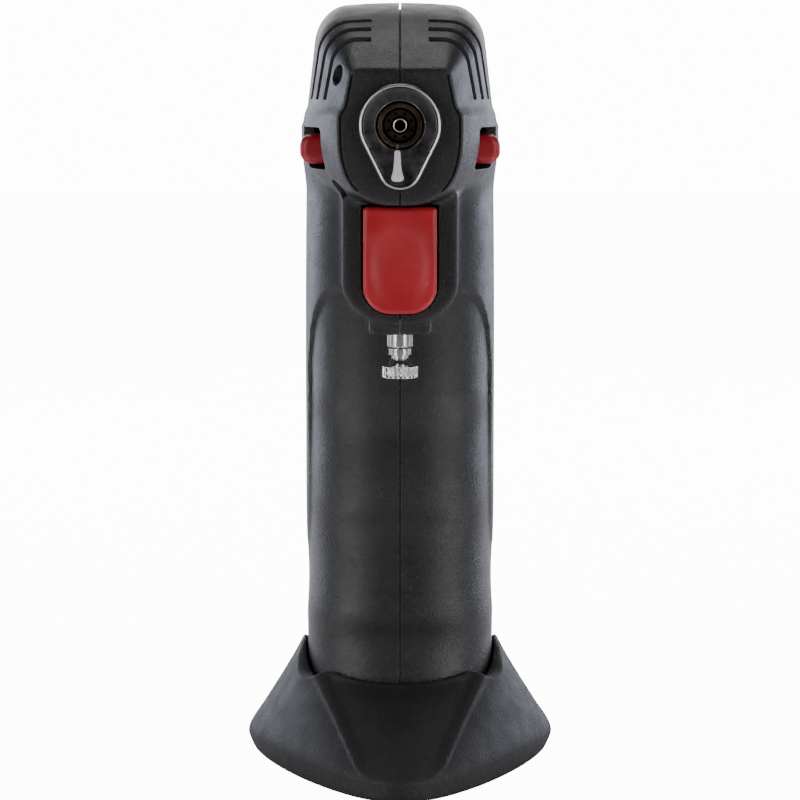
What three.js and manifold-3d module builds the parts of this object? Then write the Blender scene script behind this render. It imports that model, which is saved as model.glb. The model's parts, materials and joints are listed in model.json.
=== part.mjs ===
// A table-top butane torch: a removable stand, a two-piece casing over a fuel tank, a piezo
// igniter worked by the trigger, a gas train from tank to burner, and a two-sided lock slider.
// Millimetres, +Z up. The origin is the centre of the stand's foot, and the burner points along -Y.
import * as THREE from "three";
import { mergeVertices } from "three/addons/utils/BufferGeometryUtils.js";
import Module from "manifold-3d";

const wasm = await Module();
wasm.setup();

// ---------------------------------------------------------------- driving dimensions
const GAP = 0.3; // between pieces that touch on the real object
const HEIGHT = 160;
const WALL = 2.2; // casing wall
const SEAM = 0.15; // each casing half stops this far from the parting plane

const MUZZLE = { y: -44, z: 135, round: 0.6 };
const BURNER = { tube: 4.5, bore: 3.5, front: -46.2, back: -31 };
const SHIELD = { radius: 8.3, hole: 4.85, front: -46.9, back: -44.3, lobe: 4.6, lobeZ: 126.7 };
const SHROUD = { half: 11.67, front: -38, back: -20, top: 121, arcZ: 103, arc: 8.5 };
const BOSS = { half: 6.3, front: -37.2, back: -22, bottom: 92.65, top: 97.5 };
const KNOB = { y: -32.2, spindle: 1.2, bushing: 2.75, neck: 2.44, rim: 3.67, teeth: 22 };
const TRIGGER = { half: 7.4, wall: 1.5, front: -42, plate: 1.8, bottom: 97.2, top: 118.6, corner: 5.5 };
const TRAVEL = { trigger: 4.5, lever: 1.35 }; // the lever's tip rises as the trigger comes back
const LOCK = { z: 130, half: 3, reach: 20.7, front: -31, back: -20, travel: 4 };
const SLOT = { front: -36, back: -19, low: 125.9, high: 134.4 };
const VENTS = { planes: [-35, -31, -27], width: 1.6, inner: 5.8, bottom: 140 };
const IGNITER = { z: 112.5, half: 4.2, low: 107.2, high: 117.8, front: -25, back: 10, bore: 3.2 };
const TANK = { half: 16.6, y: -3, depth: 18, bottom: 9, top: 84, wall: 2 };
const LID = { bottom: 84.3, top: 88.3 };
const VALVE = { y: 0, body: 3.2, bottom: 78, top: 96 };
const LEVER = { pivotY: 13, z: 102.8, low: 102, high: 103.6, tipY: -12 };
const REFILL = { y: -7, body: 3.2, access: 5.5 };
const CASE_BOTTOM = 5;
const SOCKET = { gap: 0.4, wall: 2, floorLow: 2.2, floorHigh: 4.7, ledge: 5 };
const SCREW = { head: 1.8, headHeight: 2, shank: 1.1, sink: 2.1, slot: 1.1 };
// each screw's axis, its post's radius, the face that its head is drawn down to, and how far its point
// reaches
const SCREWS = [
  { y: -38.9, z: 144.9, post: 3.6, seat: -8.6, tip: 8 },
  { y: -36.5, z: 121.9, post: 2.8, seat: -6.8, tip: 7 },
  { y: 22, z: 146, post: 3.6, seat: -11, tip: 11 },
  { y: 20.5, z: 112, post: 3.6, seat: -11, tip: 11 },
  { y: 20, z: 78, post: 3.6, seat: -11, tip: 11 },
  { y: 19.2, z: 30, post: 3.6, seat: -11, tip: 11 },
];

// ---------------------------------------------------------------- small mathematics
const clamp01 = (t) => Math.min(Math.max(t, 0), 1);
const smooth = (lo, hi, t) => {
  const s = clamp01((t - lo) / (hi - lo));
  return s * s * (3 - 2 * s);
};

// A smooth curve through [place, value] pairs, flat beyond both ends.
function through(pairs) {
  const slope = pairs.map((p, i) => {
    const a = pairs[Math.max(i - 1, 0)];
    const b = pairs[Math.min(i + 1, pairs.length - 1)];
    return (b[1] - a[1]) / (b[0] - a[0]);
  });
  return (t) => {
    if (t <= pairs[0][0]) return pairs[0][1];
    if (t >= pairs.at(-1)[0]) return pairs.at(-1)[1];
    const i = pairs.findIndex((p) => p[0] > t) - 1;
    const [t0, v0] = pairs[i];
    const [t1, v1] = pairs[i + 1];
    const h = t1 - t0;
    const s = (t - t0) / h;
    const s2 = s * s;
    const s3 = s2 * s;
    return (2 * s3 - 3 * s2 + 1) * v0 + (s3 - 2 * s2 + s) * h * slope[i]
      + (3 * s2 - 2 * s3) * v1 + (s3 - s2) * h * slope[i + 1];
  };
}

// The larger of two distances, with the edge between them rounded to radius r.
const roundMax = (a, b, r) =>
  Math.min(Math.max(a, b), -r) + Math.hypot(Math.max(a + r, 0), Math.max(b + r, 0));

// Signed distance, along the ray from the centre, to a superellipse of half-axes a and b.
function superellipse(u, v, a, b, n) {
  const rho = (Math.abs(u / a) ** n + Math.abs(v / b) ** n) ** (1 / n);
  return Math.hypot(u, v) * (1 - 1 / Math.max(rho, 1e-6));
}

// ---------------------------------------------------------------- solids
function solid(geometry) {
  const bare = geometry.clone();
  bare.deleteAttribute("normal");
  bare.deleteAttribute("uv");
  const merged = mergeVertices(bare, 1e-4);
  return new wasm.Manifold(new wasm.Mesh({
    numProp: 3,
    vertProperties: merged.attributes.position.array,
    triVerts: new Uint32Array(merged.index.array),
  }));
}

function geometryOf(manifold) {
  const mesh = manifold.getMesh();
  const geometry = new THREE.BufferGeometry();
  const points = new Float32Array(mesh.numVert * 3);
  for (let i = 0; i < mesh.numVert; i++) {
    points.set(mesh.vertProperties.subarray(i * mesh.numProp, i * mesh.numProp + 3), i * 3);
  }
  geometry.setAttribute("position", new THREE.BufferAttribute(points, 3));
  geometry.setIndex(new THREE.BufferAttribute(mesh.triVerts, 1));
  geometry.computeVertexNormals();
  return geometry;
}

const union = (...solids) => solids.reduce((all, next) => all.add(next));

// A closed body through rings of points, all with the same count, with a flat fan at each end.
function loft(rings) {
  const count = rings[0].length;
  const points = rings.flat();
  const faces = [];
  for (let r = 0; r + 1 < rings.length; r++) {
    for (let i = 0; i < count; i++) {
      const a = r * count + i;
      const b = r * count + ((i + 1) % count);
      faces.push(a, b, b + count, a, b + count, a + count);
    }
  }
  for (const [ring, turn] of [[0, true], [rings.length - 1, false]]) {
    const middle = new THREE.Vector3();
    rings[ring].forEach((p) => middle.addScaledVector(p, 1 / count));
    const hub = points.push(middle) - 1;
    for (let i = 0; i < count; i++) {
      const a = ring * count + i;
      const b = ring * count + ((i + 1) % count);
      faces.push(...(turn ? [hub, b, a] : [hub, a, b]));
    }
  }
  const geometry = new THREE.BufferGeometry().setFromPoints(points);
  geometry.setIndex(faces);
  const made = solid(geometry);
  if (made.volume() > 0) return made;
  for (let i = 0; i < faces.length; i += 3) [faces[i], faces[i + 1]] = [faces[i + 1], faces[i]];
  geometry.setIndex(faces);
  return solid(geometry);
}

function box(x0, x1, y0, y1, z0, z1) {
  const geometry = new THREE.BoxGeometry(x1 - x0, y1 - y0, z1 - z0);
  return solid(geometry.translate((x0 + x1) / 2, (y0 + y1) / 2, (z0 + z1) / 2));
}

// A round bar between two heights, along X, Y or Z, at the other two coordinates.
function bar(axis, radius, from, to, u, v, sides = 20) {
  const geometry = new THREE.CylinderGeometry(radius, radius, to - from, sides);
  const middle = (from + to) / 2;
  if (axis === "x") return solid(geometry.rotateZ(Math.PI / 2).translate(middle, u, v));
  if (axis === "y") return solid(geometry.translate(u, middle, v));
  return solid(geometry.rotateX(Math.PI / 2).translate(u, v, middle));
}

// An outline drawn in X and Z, carried along Y.
function prismY(shape, y0, y1, curveSegments = 10) {
  const geometry = new THREE.ExtrudeGeometry(shape, { depth: y1 - y0, bevelEnabled: false, curveSegments });
  return solid(geometry.rotateX(Math.PI / 2).translate(0, y1, 0));
}

// An outline drawn in Y and Z, carried along X.
function prismX(shape, x0, x1) {
  const geometry = new THREE.ExtrudeGeometry(shape, { depth: x1 - x0, bevelEnabled: false });
  const turn = new THREE.Matrix4().set(0, 0, 1, x0, 1, 0, 0, 0, 0, 1, 0, 0, 0, 0, 0, 1);
  return solid(geometry.applyMatrix4(turn));
}

// A turned piece about a vertical axis through (x, y), from [radius, height] pairs that start and end on the
// axis.
function turned(profile, x, y, sides = 24) {
  const points = profile.map(([r, z]) => new THREE.Vector2(r, z));
  const geometry = new THREE.LatheGeometry(points, sides);
  return solid(geometry.rotateX(Math.PI / 2).translate(x, y, 0));
}

// A round tube, hose or wire along a curve.
function wire(curve, radius, sides, steps) {
  const section = new THREE.Shape();
  section.absarc(0, 0, radius, 0, 2 * Math.PI);
  const options = { extrudePath: curve, steps, bevelEnabled: false, curveSegments: sides / 2 };
  return solid(new THREE.ExtrudeGeometry(section, options));
}

const route = (...places) =>
  new THREE.CatmullRomCurve3(places.map((p) => new THREE.Vector3(...p)), false, "centripetal");

class Coil extends THREE.Curve {
  constructor(radius, length, turns, start, along) {
    super();
    Object.assign(this, { radius, length, turns, start, along });
  }

  getPoint(t, target = new THREE.Vector3()) {
    const angle = 2 * Math.PI * this.turns * t;
    const u = this.radius * Math.cos(angle);
    const v = this.radius * Math.sin(angle);
    const travel = this.length * t;
    if (this.along === "y") return target.set(u, travel, v).add(this.start);
    return target.set(u, v, travel).add(this.start);
  }
}

const spring = (radius, gauge, length, turns, start, along) =>
  wire(new Coil(radius, length, turns, new THREE.Vector3(...start), along), gauge, 6, turns * 7);

// ---------------------------------------------------------------- the casing's outer form
// The grip: horizontal superellipse sections. Three finger scallops lie between the crests.
const gripHalf = through([[5, 18.9], [9, 19.3], [20, 19.7], [40, 19.95], [60, 20.1], [97, 20.05],
  [135, 19.8]]);
const gripBack = through([[5, 21.5], [15, 22.5], [40, 25], [62, 26], [85, 25], [104, 24.6], [112, 25.4],
  [118, 27.4], [124, 30.6],
  [130, 33.6], [135, 35]]);
const gripFrontLine = through([[5, -24.6], [12, -25.8], [34.5, -26.3], [57, -26.6], [80, -27],
  [118, -26], [135, -24]]);
const GRIP_POWER = 2.8;
const SCALLOP = { first: 11.5, pitch: 22.8, last: 79.9, depth: 1.5, skew: 0.6 };

// Each finger scallop is deepest a third of the way down from its upper ridge, and eases out below.
function scallop(z) {
  if (z < SCALLOP.first || z > SCALLOP.last) return 0;
  const down = ((SCALLOP.last - z) / SCALLOP.pitch) % 1;
  return SCALLOP.depth * Math.sin(Math.PI * down * (1 + SCALLOP.skew * (1 - down))) ** 2;
}

const gripFront = (z) => gripFrontLine(z) + scallop(z);

function ringOfSection(half, front, back, power, z, grow, count) {
  const a = half + grow;
  const b = (back - front) / 2 + grow;
  const y = (front + back) / 2;
  return Array.from({ length: count }, (unused, i) => {
    const angle = (2 * Math.PI * i) / count;
    const [c, s] = [Math.cos(angle), Math.sin(angle)];
    const r = 1 / (Math.abs(c / a) ** power + Math.abs(s / b) ** power) ** (1 / power);
    return new THREE.Vector3(r * c, y + r * s, z);
  });
}

const gripRing = (z, grow, count = 32) =>
  ringOfSection(gripHalf(z), gripFront(z), gripBack(z), GRIP_POWER, z, grow, count);

// The head: vertical sections across the burner's axis, from the muzzle's face to the back.
const HEAD = { back: 35, wide: 19.9, belt: 134, shoulder: [136.4, 139.2], power: 2.6 };
const headFrontHalf = through([[-44, 12.3], [-40, 14.3], [-35, 16.4], [-31, 17.9], [-27, 19],
  [-22, 19.7], [-10, HEAD.wide]]);
const headTop = through([[-44, 146], [-40, 148.9], [-36, 151.5], [-32, 153.7], [-28, 155.6], [-22, 157.7],
  [-14, 159.3], [-4, HEIGHT], [6, 159.6], [16, 157.2], [24, 152.8], [30, 147], [35, 140]]);
const headBottom = through([[-44, 119], [-30, 118.4], [12, 118], [20, 120.5], [26, 125], [31, 129.5],
  [35, 133.5]]);
const headCorner = through([[-44, 1], [-40, 2.4], [-35, 4.2], [-27, 5.2], [0, 5.5]]);
const headDraft = through([[-44, 0.2], [-35, 0.19], [-20, 0.12], [0, 0.11]]);
const headStep = through([[-44, 1.3], [-35, 1.1], [-25, 0.8]]);

function headHalf(y) {
  if (y <= 0) return headFrontHalf(y);
  return HEAD.wide * (1 - Math.min(y / HEAD.back, 0.9999) ** 3) ** (1 / 3);
}

// Distance from the head's skin in the section at y: negative inside.
function headSection(x, y, z) {
  const half = headHalf(y);
  if (z < HEAD.belt) {
    return superellipse(x, HEAD.belt - z, half, HEAD.belt - headBottom(y), HEAD.power);
  }
  const [low, high] = HEAD.shoulder;
  const side = half - headStep(y) * smooth(low, high, z) - headDraft(y) * Math.max(z - high, 0);
  return roundMax((Math.abs(x) - side) * 0.98, (z - headTop(y)) * 0.92, headCorner(y));
}

function headRing(y, grow, count = 36) {
  const middle = (headTop(y) + headBottom(y)) / 2;
  return Array.from({ length: count }, (unused, i) => {
    const angle = (2 * Math.PI * (i + 0.5)) / count;
    const [c, s] = [Math.cos(angle), Math.sin(angle)];
    let [near, far] = [0, 60];
    for (let k = 0; k < 40; k++) {
      const r = (near + far) / 2;
      if (headSection(r * c, y, middle + r * s) > grow) far = r;
      else near = r;
    }
    return new THREE.Vector3(near * c, y, middle + near * s);
  });
}

function shroudOutline(grow) {
  const shape = new THREE.Shape();
  const half = SHROUD.half + grow;
  shape.moveTo(half, SHROUD.top);
  shape.lineTo(-half, SHROUD.top);
  shape.lineTo(-half, SHROUD.arcZ);
  shape.absellipse(0, SHROUD.arcZ, half, SHROUD.arc + grow, Math.PI, 2 * Math.PI, false);
  return shape;
}

const GRIP_LEVELS = [9, 15, 20, 26.5, 31, 34.3, 38, 43, 49.3, 54, 57.1, 61, 66, 72, 77, 80, 90, 104, 118,
  133];
const HEAD_LEVELS = [-40, -35.5, -31, -26.5, -21, -12, -3, 6, 14, 21, 26.5, 30.5, 33, 34.5];

function casingForm(grow, sides = 34) {
  const start = CASE_BOTTOM - grow;
  const grip = loft([gripRing(start, grow - 1.1, sides), ...[start + 1.1,
    ...GRIP_LEVELS].map((z) => gripRing(z, grow, sides))]);
  const front = MUZZLE.y - grow;
  const levels = [front + MUZZLE.round, ...HEAD_LEVELS.filter((y) => y > front + 1 && y < HEAD.back + grow - 0.3)];
  const head = loft([headRing(front, grow - MUZZLE.round, sides),
    ...levels.map((y) => headRing(y, grow, sides))]);
  const shroud = prismY(shroudOutline(grow), SHROUD.front - grow, SHROUD.back);
  return union(grip, head, shroud);
}

// ---------------------------------------------------------------- the casing's two halves

function ventCuts() {
  const cuts = [];
  for (const y of VENTS.planes) {
    for (const side of [-1, 1]) {
      const [x0, x1] = side < 0 ? [-30, -VENTS.inner] : [VENTS.inner, 30];
      cuts.push(box(x0, x1, y - VENTS.width / 2, y + VENTS.width / 2, VENTS.bottom, HEIGHT + 5));
    }
  }
  return union(...cuts);
}

function triggerOpening() {
  const half = TRIGGER.half + 0.4;
  const bottom = TRIGGER.bottom - 0.4;
  const round = TRIGGER.corner + 0.4;
  const shape = new THREE.Shape();
  shape.moveTo(half, TRIGGER.top + 0.4);
  shape.lineTo(-half, TRIGGER.top + 0.4);
  shape.lineTo(-half, bottom + round);
  shape.absarc(-half + round, bottom + round, round, Math.PI, 1.5 * Math.PI, false);
  shape.absarc(half - round, bottom + round, round, 1.5 * Math.PI, 2 * Math.PI, false);
  return prismY(shape, SHROUD.front - 5, SHROUD.front + WALL + 1, 6);
}

function wholeCasing() {
  const boss = box(-BOSS.half, BOSS.half, BOSS.front, BOSS.back, BOSS.bottom, BOSS.top);
  const outer = casingForm(0).add(boss);
  const posts = SCREWS.map((s) => bar("x", s.post, -25, 25, s.y, s.z).intersect(outer));
  let casing = outer.subtract(casingForm(-WALL, 22)).add(union(...posts));
  for (const s of SCREWS) {
    casing = casing.subtract(bar("x", SCREW.sink, -30, s.seat, s.y, s.z, 16));
    casing = casing.subtract(bar("x", SCREW.shank + GAP, s.seat - 1, s.tip + 1, s.y, s.z, 10));
  }
  return casing
    .subtract(triggerOpening())
    .subtract(ventCuts())
    .subtract(bar("z", KNOB.bushing + GAP, BOSS.bottom - 2, BOSS.top + 1, 0, KNOB.y))
    .subtract(bar("y", 5, MUZZLE.y - 1, MUZZLE.y + WALL + 1, 0, MUZZLE.z, 28))
    .subtract(bar("y", 1.7, MUZZLE.y - 1, MUZZLE.y + WALL + 1, ELECTRODE.x, ELECTRODE.z, 12))
    .subtract(box(-30, 30, SLOT.front, SLOT.back, SLOT.low, SLOT.high))
    .subtract(bar("z", REFILL.access, CASE_BOTTOM - 1, CASE_BOTTOM + WALL + 1, 0, REFILL.y));
}

const halfSpace = (side) => (side < 0 ? box(-40, -SEAM, -80, 80, -10, 200) : box(SEAM, 40, -80, 80, -10,
  200));

// ---------------------------------------------------------------- stand
const standHalf = through([[0, 31.3], [2, 32.3], [3.8, 32.8], [6, 32.1], [9.9, 29.5], [15.8, 25.7],
  [20, 23.1], [24, 20.9]]);
const standFront = through([[0, -53.2], [3.8, -53.3], [6, -51.2], [9.9, -44.6], [15.8, -34.2],
  [19.5, -28.2], [24, -27.6]]);
const standBack = through([[0, 53.2], [3.8, 53.3], [6, 51], [9.9, 43.8], [15.8, 32.2], [19.5, 25.6],
  [24, 24.8]]);
const standPower = through([[3.8, 1.31], [10, 1.6], [15.8, 2.1], [20, 2.6], [24, 2.8]]);
const standTip = through([[3.8, 9], [10, 7], [15.8, 3], [20, 0.5]]);
const STAND_TOP = 24;
const LIP = { low: 19.5, rise: 4.5, from: 20, to: 2 };

// A superellipse widened all round by the tip's radius, so that its ends are round and not pointed.
// The points crowd towards the ends, where the outline turns fastest.
function standRing(z, grow, at = z, count = 44) {
  const tip = standTip(z);
  const a = standHalf(z) - tip;
  const b = (standBack(z) - standFront(z)) / 2 - tip;
  const middle = (standFront(z) + standBack(z)) / 2;
  const n = standPower(z);
  const crowd = Math.max(1, n / (2 * (n - 1)));
  return Array.from({ length: count }, (unused, i) => {
    const angle = (2 * Math.PI * i) / count;
    const c = Math.cos(angle) ** 2;
    const share = c ** crowd / (c ** crowd + (1 - c) ** crowd);
    const [u, v] = [share ** (1 / n), (1 - share) ** (1 / n)];
    const [nx, ny] = [u ** (n - 1) / a, v ** (n - 1) / b];
    const out = (tip + grow) / Math.hypot(nx, ny);
    const x = Math.sign(Math.cos(angle)) * (a * u + out * nx);
    const y = Math.sign(Math.sin(angle)) * (b * v + out * ny);
    return new THREE.Vector3(x, middle + y, at);
  });
}

// Where the stand's front face lies at a given width and height.
function standFaceY(x, z) {
  const ring = standRing(z, 0, z, 240).filter((p) => p.y < 0).sort((p, q) => p.x - q.x);
  const i = ring.findIndex((p) => p.x > x);
  const [p, q] = [ring[i - 1], ring[i]];
  return p.y + ((q.y - p.y) * (x - p.x)) / (q.x - p.x);
}

// Two raised beads that run down the front face towards the tip.
function standBeads() {
  return [-1, 1].map((side) => {
    const places = [19.2, 15.5, 12, 8.5, 5.4].map((z) => {
      const x = 7.7 + (16.6 - 7.7) * ((z - 5.4) / 13.8);
      return [side * x, standFaceY(x, z), z];
    });
    return wire(route(...places), 0.8, 8, 8);
  });
}

function lipCut() {
  const shape = new THREE.Shape();
  shape.moveTo(-60, 40);
  for (let y = -60; y <= 60; y += y > -22 && y < 20 ? 2 : 19) {
    shape.lineTo(y, LIP.low + LIP.rise * smooth(LIP.from, LIP.to, Math.abs(y)));
  }
  shape.lineTo(60, LIP.low);
  shape.lineTo(60, 40);
  return prismX(shape, -40, 40);
}

function stand() {
  const levels = [0, 2, 3.8, 5, 6.5, 9.9, 13, 15.8, 18, 20, 22, STAND_TOP];
  const outer = loft(levels.map((z) => standRing(z, 0)));
  const under = loft([standRing(0, -2.6, -1, 32), ...[3, 5, 9.9, 15.8, 18].map((z) => standRing(z,
    -SOCKET.wall, z, 32))]);
  const column = loft([SOCKET.floorLow, 12, 26].map((z) => gripRing(z, SOCKET.gap + SOCKET.wall, 24)));
  const socket = loft([
    gripRing(SOCKET.floorHigh, SOCKET.gap, 34),
    ...GRIP_LEVELS.filter((z) => z < 32).map((z) => gripRing(z, SOCKET.gap, 34)),
  ]);
  return outer
    .add(union(...standBeads()))
    .subtract(under.subtract(column))
    .subtract(socket)
    .subtract(lipCut())
    .subtract(loft([0, SOCKET.floorHigh + 1].map((z) => ringOfSection(
      gripHalf(5), gripFront(5), gripBack(5), GRIP_POWER, z, -SOCKET.ledge, 34))));
}

// ---------------------------------------------------------------- trigger, lock and knob
function triggerFace() {
  const { half, bottom, top, corner } = TRIGGER;
  const shape = new THREE.Shape();
  shape.moveTo(half, top);
  shape.lineTo(-half, top);
  shape.lineTo(-half, bottom + corner);
  shape.absarc(-half + corner, bottom + corner, corner, Math.PI, 1.5 * Math.PI, false);
  shape.absarc(half - corner, bottom + corner, corner, 1.5 * Math.PI, 2 * Math.PI, false);
  return shape;
}

// Each arm ends in a ramp that lifts the lever's tip as the trigger comes back.
function triggerArm(x0, x1) {
  const shape = new THREE.Shape();
  const plateBack = TRIGGER.front + TRIGGER.plate;
  const rise = TRAVEL.lever / TRAVEL.trigger;
  const rampEnd = LEVER.low - GAP - 2 * rise;
  shape.moveTo(plateBack - 0.5, 103.2);
  shape.lineTo(plateBack - 0.5, 101.2);
  shape.lineTo(-35, 101.2);
  shape.lineTo(-34, 99.6);
  shape.lineTo(-10, 99.6);
  shape.lineTo(-10, rampEnd);
  shape.lineTo(-17, rampEnd + 7 * rise);
  shape.lineTo(-20, 101.7);
  shape.lineTo(-33, 101.7);
  shape.lineTo(-33, 103.2);
  return prismX(shape, x0, x1);
}

function trigger() {
  const { half, wall, front, plate, top } = TRIGGER;
  const back = front + plate;
  const dish = new THREE.SphereGeometry(1, 20, 14).scale(6.2, 1, 9).translate(0, front - 0.35, 107);
  const sides = [-1, 1].map((side) => {
    const [x0, x1] = side < 0 ? [-half, wall - half] : [half - wall, half];
    return union(box(x0, x1, back - 0.5, -33, 102.5, top - 1), triggerArm(x0, x1));
  });
  const roof = box(-half, half, back - 0.5, -34, top - wall, top);
  const post = box(-2.6, 2.6, back - 0.5, -31.3, 110, 115);
  return union(prismY(triggerFace(), front, back, 6), ...sides, roof, post).subtract(solid(dish));
}

function lockSlider() {
  const { z, half, reach, front, back } = LOCK;
  const pad = new THREE.Shape();
  pad.moveTo(-reach, z - half + 1.6);
  pad.absellipse(-reach + 2, z, 2, half, Math.PI, 1.5 * Math.PI, false);
  pad.absellipse(reach - 2, z, 2, half, 1.5 * Math.PI, 2.5 * Math.PI, false);
  pad.absellipse(-reach + 2, z, 2, half, 0.5 * Math.PI, Math.PI, false);
  const pads = prismY(pad, front, back, 8).subtract(box(-10.6, 10.6, front - 1, back + 1, z - 8, z + 8));
  const uprights = [-1, 1].map((side) => {
    const [x0, x1] = side < 0 ? [-11.6, -9.8] : [9.8, 11.6];
    return box(x0, x1, front + 2.5, back - 1, 124.2, z + half - 0.4);
  });
  return union(pads, ...uprights, box(-11.6, 11.6, -28, -23, 124.2, 126));
}

function flameKnob() {
  const rim = new THREE.Shape();
  for (let i = 0; i < 2 * KNOB.teeth; i++) {
    const angle = (Math.PI * i) / KNOB.teeth;
    const r = i % 2 ? KNOB.rim - 0.3 : KNOB.rim;
    rim[i ? "lineTo" : "moveTo"](r * Math.cos(angle), r * Math.sin(angle));
  }
  const knurl = new THREE.ExtrudeGeometry(rim, { depth: 2.2, bevelEnabled: false });
  const body = turned([[0, 83.4], [2.6, 83.4], [3.3, 83.7], [3.3, 86.0], [1.8, 87.6], [1.8, 88.2],
    [KNOB.neck, 88.25], [KNOB.neck, 89.6], [KNOB.spindle, 89.6], [KNOB.spindle, 100], [0, 100]], 0, KNOB.y);
  return body.add(solid(knurl.translate(0, KNOB.y, 83.7)));
}

function adjusterBushing() {
  return bar("z", KNOB.bushing, 89.9, 96.9, 0, KNOB.y, 24)
    .subtract(bar("z", KNOB.spindle + GAP, 89, 98, 0, KNOB.y, 16));
}

// ---------------------------------------------------------------- burner and ignition
const ELECTRODE = { x: -0.5, z: 126.2, sleeve: 1.3, bare: 0.4, tip: 131.4 };

// A round top over the burner, drawn in to a narrower round lobe over the electrode.
function shieldOutline(grow) {
  const big = SHIELD.radius + grow;
  const small = SHIELD.lobe + grow;
  const drop = MUZZLE.z - SHIELD.lobeZ;
  const lean = Math.asin((big - small) / drop);
  const shape = new THREE.Shape();
  shape.absarc(0, MUZZLE.z, big, -lean, Math.PI + lean, false);
  shape.absarc(0, SHIELD.lobeZ, small, Math.PI + lean, 2 * Math.PI - lean, false);
  return shape;
}

function heatShield() {
  const cup = prismY(shieldOutline(0), SHIELD.front, SHIELD.back, 14)
    .subtract(prismY(shieldOutline(-0.8), SHIELD.front + 0.9, SHIELD.back + 1, 14));
  return cup
    .subtract(bar("y", SHIELD.hole, SHIELD.front - 1, SHIELD.back + 1, 0, MUZZLE.z, 32))
    .subtract(bar("y", ELECTRODE.sleeve + GAP, SHIELD.front - 1, SHIELD.back, ELECTRODE.x, ELECTRODE.z, 14));
}

function burnerTube() {
  return bar("y", BURNER.tube, BURNER.front, BURNER.back, 0, MUZZLE.z, 32)
    .subtract(bar("y", BURNER.bore, BURNER.front - 1, BURNER.back + 1, 0, MUZZLE.z, 32));
}

function flameHolder() {
  let disc = bar("y", BURNER.bore - GAP, -44.6, -42.6, 0, MUZZLE.z, 28)
    .subtract(bar("y", 1.75, -46, -41, 0, MUZZLE.z, 16));
  for (let i = 0; i < 8; i++) {
    const angle = (Math.PI * (i + 0.5)) / 4;
    const hole = bar("y", 0.35, -46, -41, 2.45 * Math.cos(angle), MUZZLE.z + 2.45 * Math.sin(angle), 8);
    disc = disc.subtract(hole);
  }
  return disc;
}

function gasJet() {
  return union(
    bar("y", 1.4, -45.6, -25, 0, MUZZLE.z, 20),
    bar("y", 2.6, -30.5, -27, 0, MUZZLE.z, 6),
    bar("y", 1.0, -25.5, -22, 0, MUZZLE.z, 12),
  ).subtract(bar("y", 1.1, -47, -32, 0, MUZZLE.z, 16));
}

// A plate across the head, widest above the lock slider, where the casing's walls hold its edges.
function burnerHolder() {
  return union(box(-9.4, 9.4, -34, -31.6, 127.2, 150), box(-19, 19, -34, -31.6, LOCK.z + 5, 144))
    .intersect(casingForm(-WALL - GAP))
    .add(bar("y", 6.2, -36, -31.7, 0, MUZZLE.z, 24))
    .subtract(bar("y", BURNER.tube + GAP, -40, -30, 0, MUZZLE.z, 28));
}

// The sleeve comes through the shield and turns up the front of it, narrowing to the bare tip.
function electrodeInsulator() {
  const { x, z, sleeve } = ELECTRODE;
  const front = SHIELD.front - 1.1;
  const riser = turned([[0, z - 1.6], [0.9, z - 1.5], [1.25, z - 0.9], [1.2, z - 0.2], [0.62, z + 1],
    [0.6, 130.1], [0, 130.1]],
    x, front, 14);
  return bar("y", sleeve, front + 0.2, -38, x, z, 14).add(riser);
}

function electrodeTip() {
  return bar("z", ELECTRODE.bare, 130.4, ELECTRODE.tip, ELECTRODE.x, SHIELD.front - 1.1, 10);
}

function igniterBody() {
  const { half, front, back, low, high, bore, z } = IGNITER;
  return box(-half, half, front, back, low, high).subtract(bar("y", bore, front - 1, back + 1, 0, z, 20));
}

const igniterPlunger = () => bar("y", IGNITER.bore - GAP, -31, -15.5, 0, IGNITER.z, 20);
const igniterSpring = () => spring(2.1, 0.3, 15.4, 6, [0, -14.7, IGNITER.z], "y");
const piezoCrystal = () => bar("y", IGNITER.bore - GAP, 1.6, 9.5, 0, IGNITER.z, 18);

const igniterLead = () => wire(route([0, 9.8, 112.5], [0, 12, 112.8], [-2, 14.2, 117], [-4, 10, 121],
  [-4, 0, 121.7],
  [-4, -22, 121.9], [-4, -28.5, 121.9], [-3.4, -31.4, 122.2], [-2.6, -33.2, 124.2], [-1.4, -34.6, 125.6],
  [-0.5, -36.2, 126.3], [-0.5, -37.6, 126.2]), 0.75, 8, 30);

// ---------------------------------------------------------------- tank and gas train
const tankRing = (z, grow) =>
  ringOfSection(TANK.half, TANK.y - TANK.depth, TANK.y + TANK.depth, 3, z, grow, 26);

function tankBody() {
  const { bottom, top, wall } = TANK;
  return loft([tankRing(bottom, -1.5), tankRing(bottom + 1.5, 0), tankRing(top, 0)])
    .subtract(loft([tankRing(bottom + wall, -wall - 1), tankRing(bottom + wall + 1, -wall),
      tankRing(top + 1, -wall)]))
    .subtract(bar("z", REFILL.body + GAP, bottom - 1, bottom + wall + 1, 0, REFILL.y));
}

// The lid carries the main valve and, on two lugs, the lever's pin.
function tankLid() {
  const lugs = [-1, 1].map((side) => {
    const [x0, x1] = side < 0 ? [-6, -4] : [4, 6];
    return box(x0, x1, LEVER.pivotY - 2.5, LEVER.pivotY + 1.8, LID.top - 1, LEVER.z + 2.6);
  });
  return union(loft([tankRing(LID.bottom, 0), tankRing(LID.top, 0)]), ...lugs)
    .subtract(bar("z", VALVE.body + GAP, LID.bottom - 1, LID.top + 1, 0, VALVE.y))
    .subtract(bar("x", 1.3, -7, 7, LEVER.pivotY, LEVER.z, 14));
}

function ringSeal(major, minor, x, y, z) {
  const geometry = new THREE.TorusGeometry(major, minor, 6, 18);
  return solid(geometry.translate(x, y, z));
}

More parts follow.
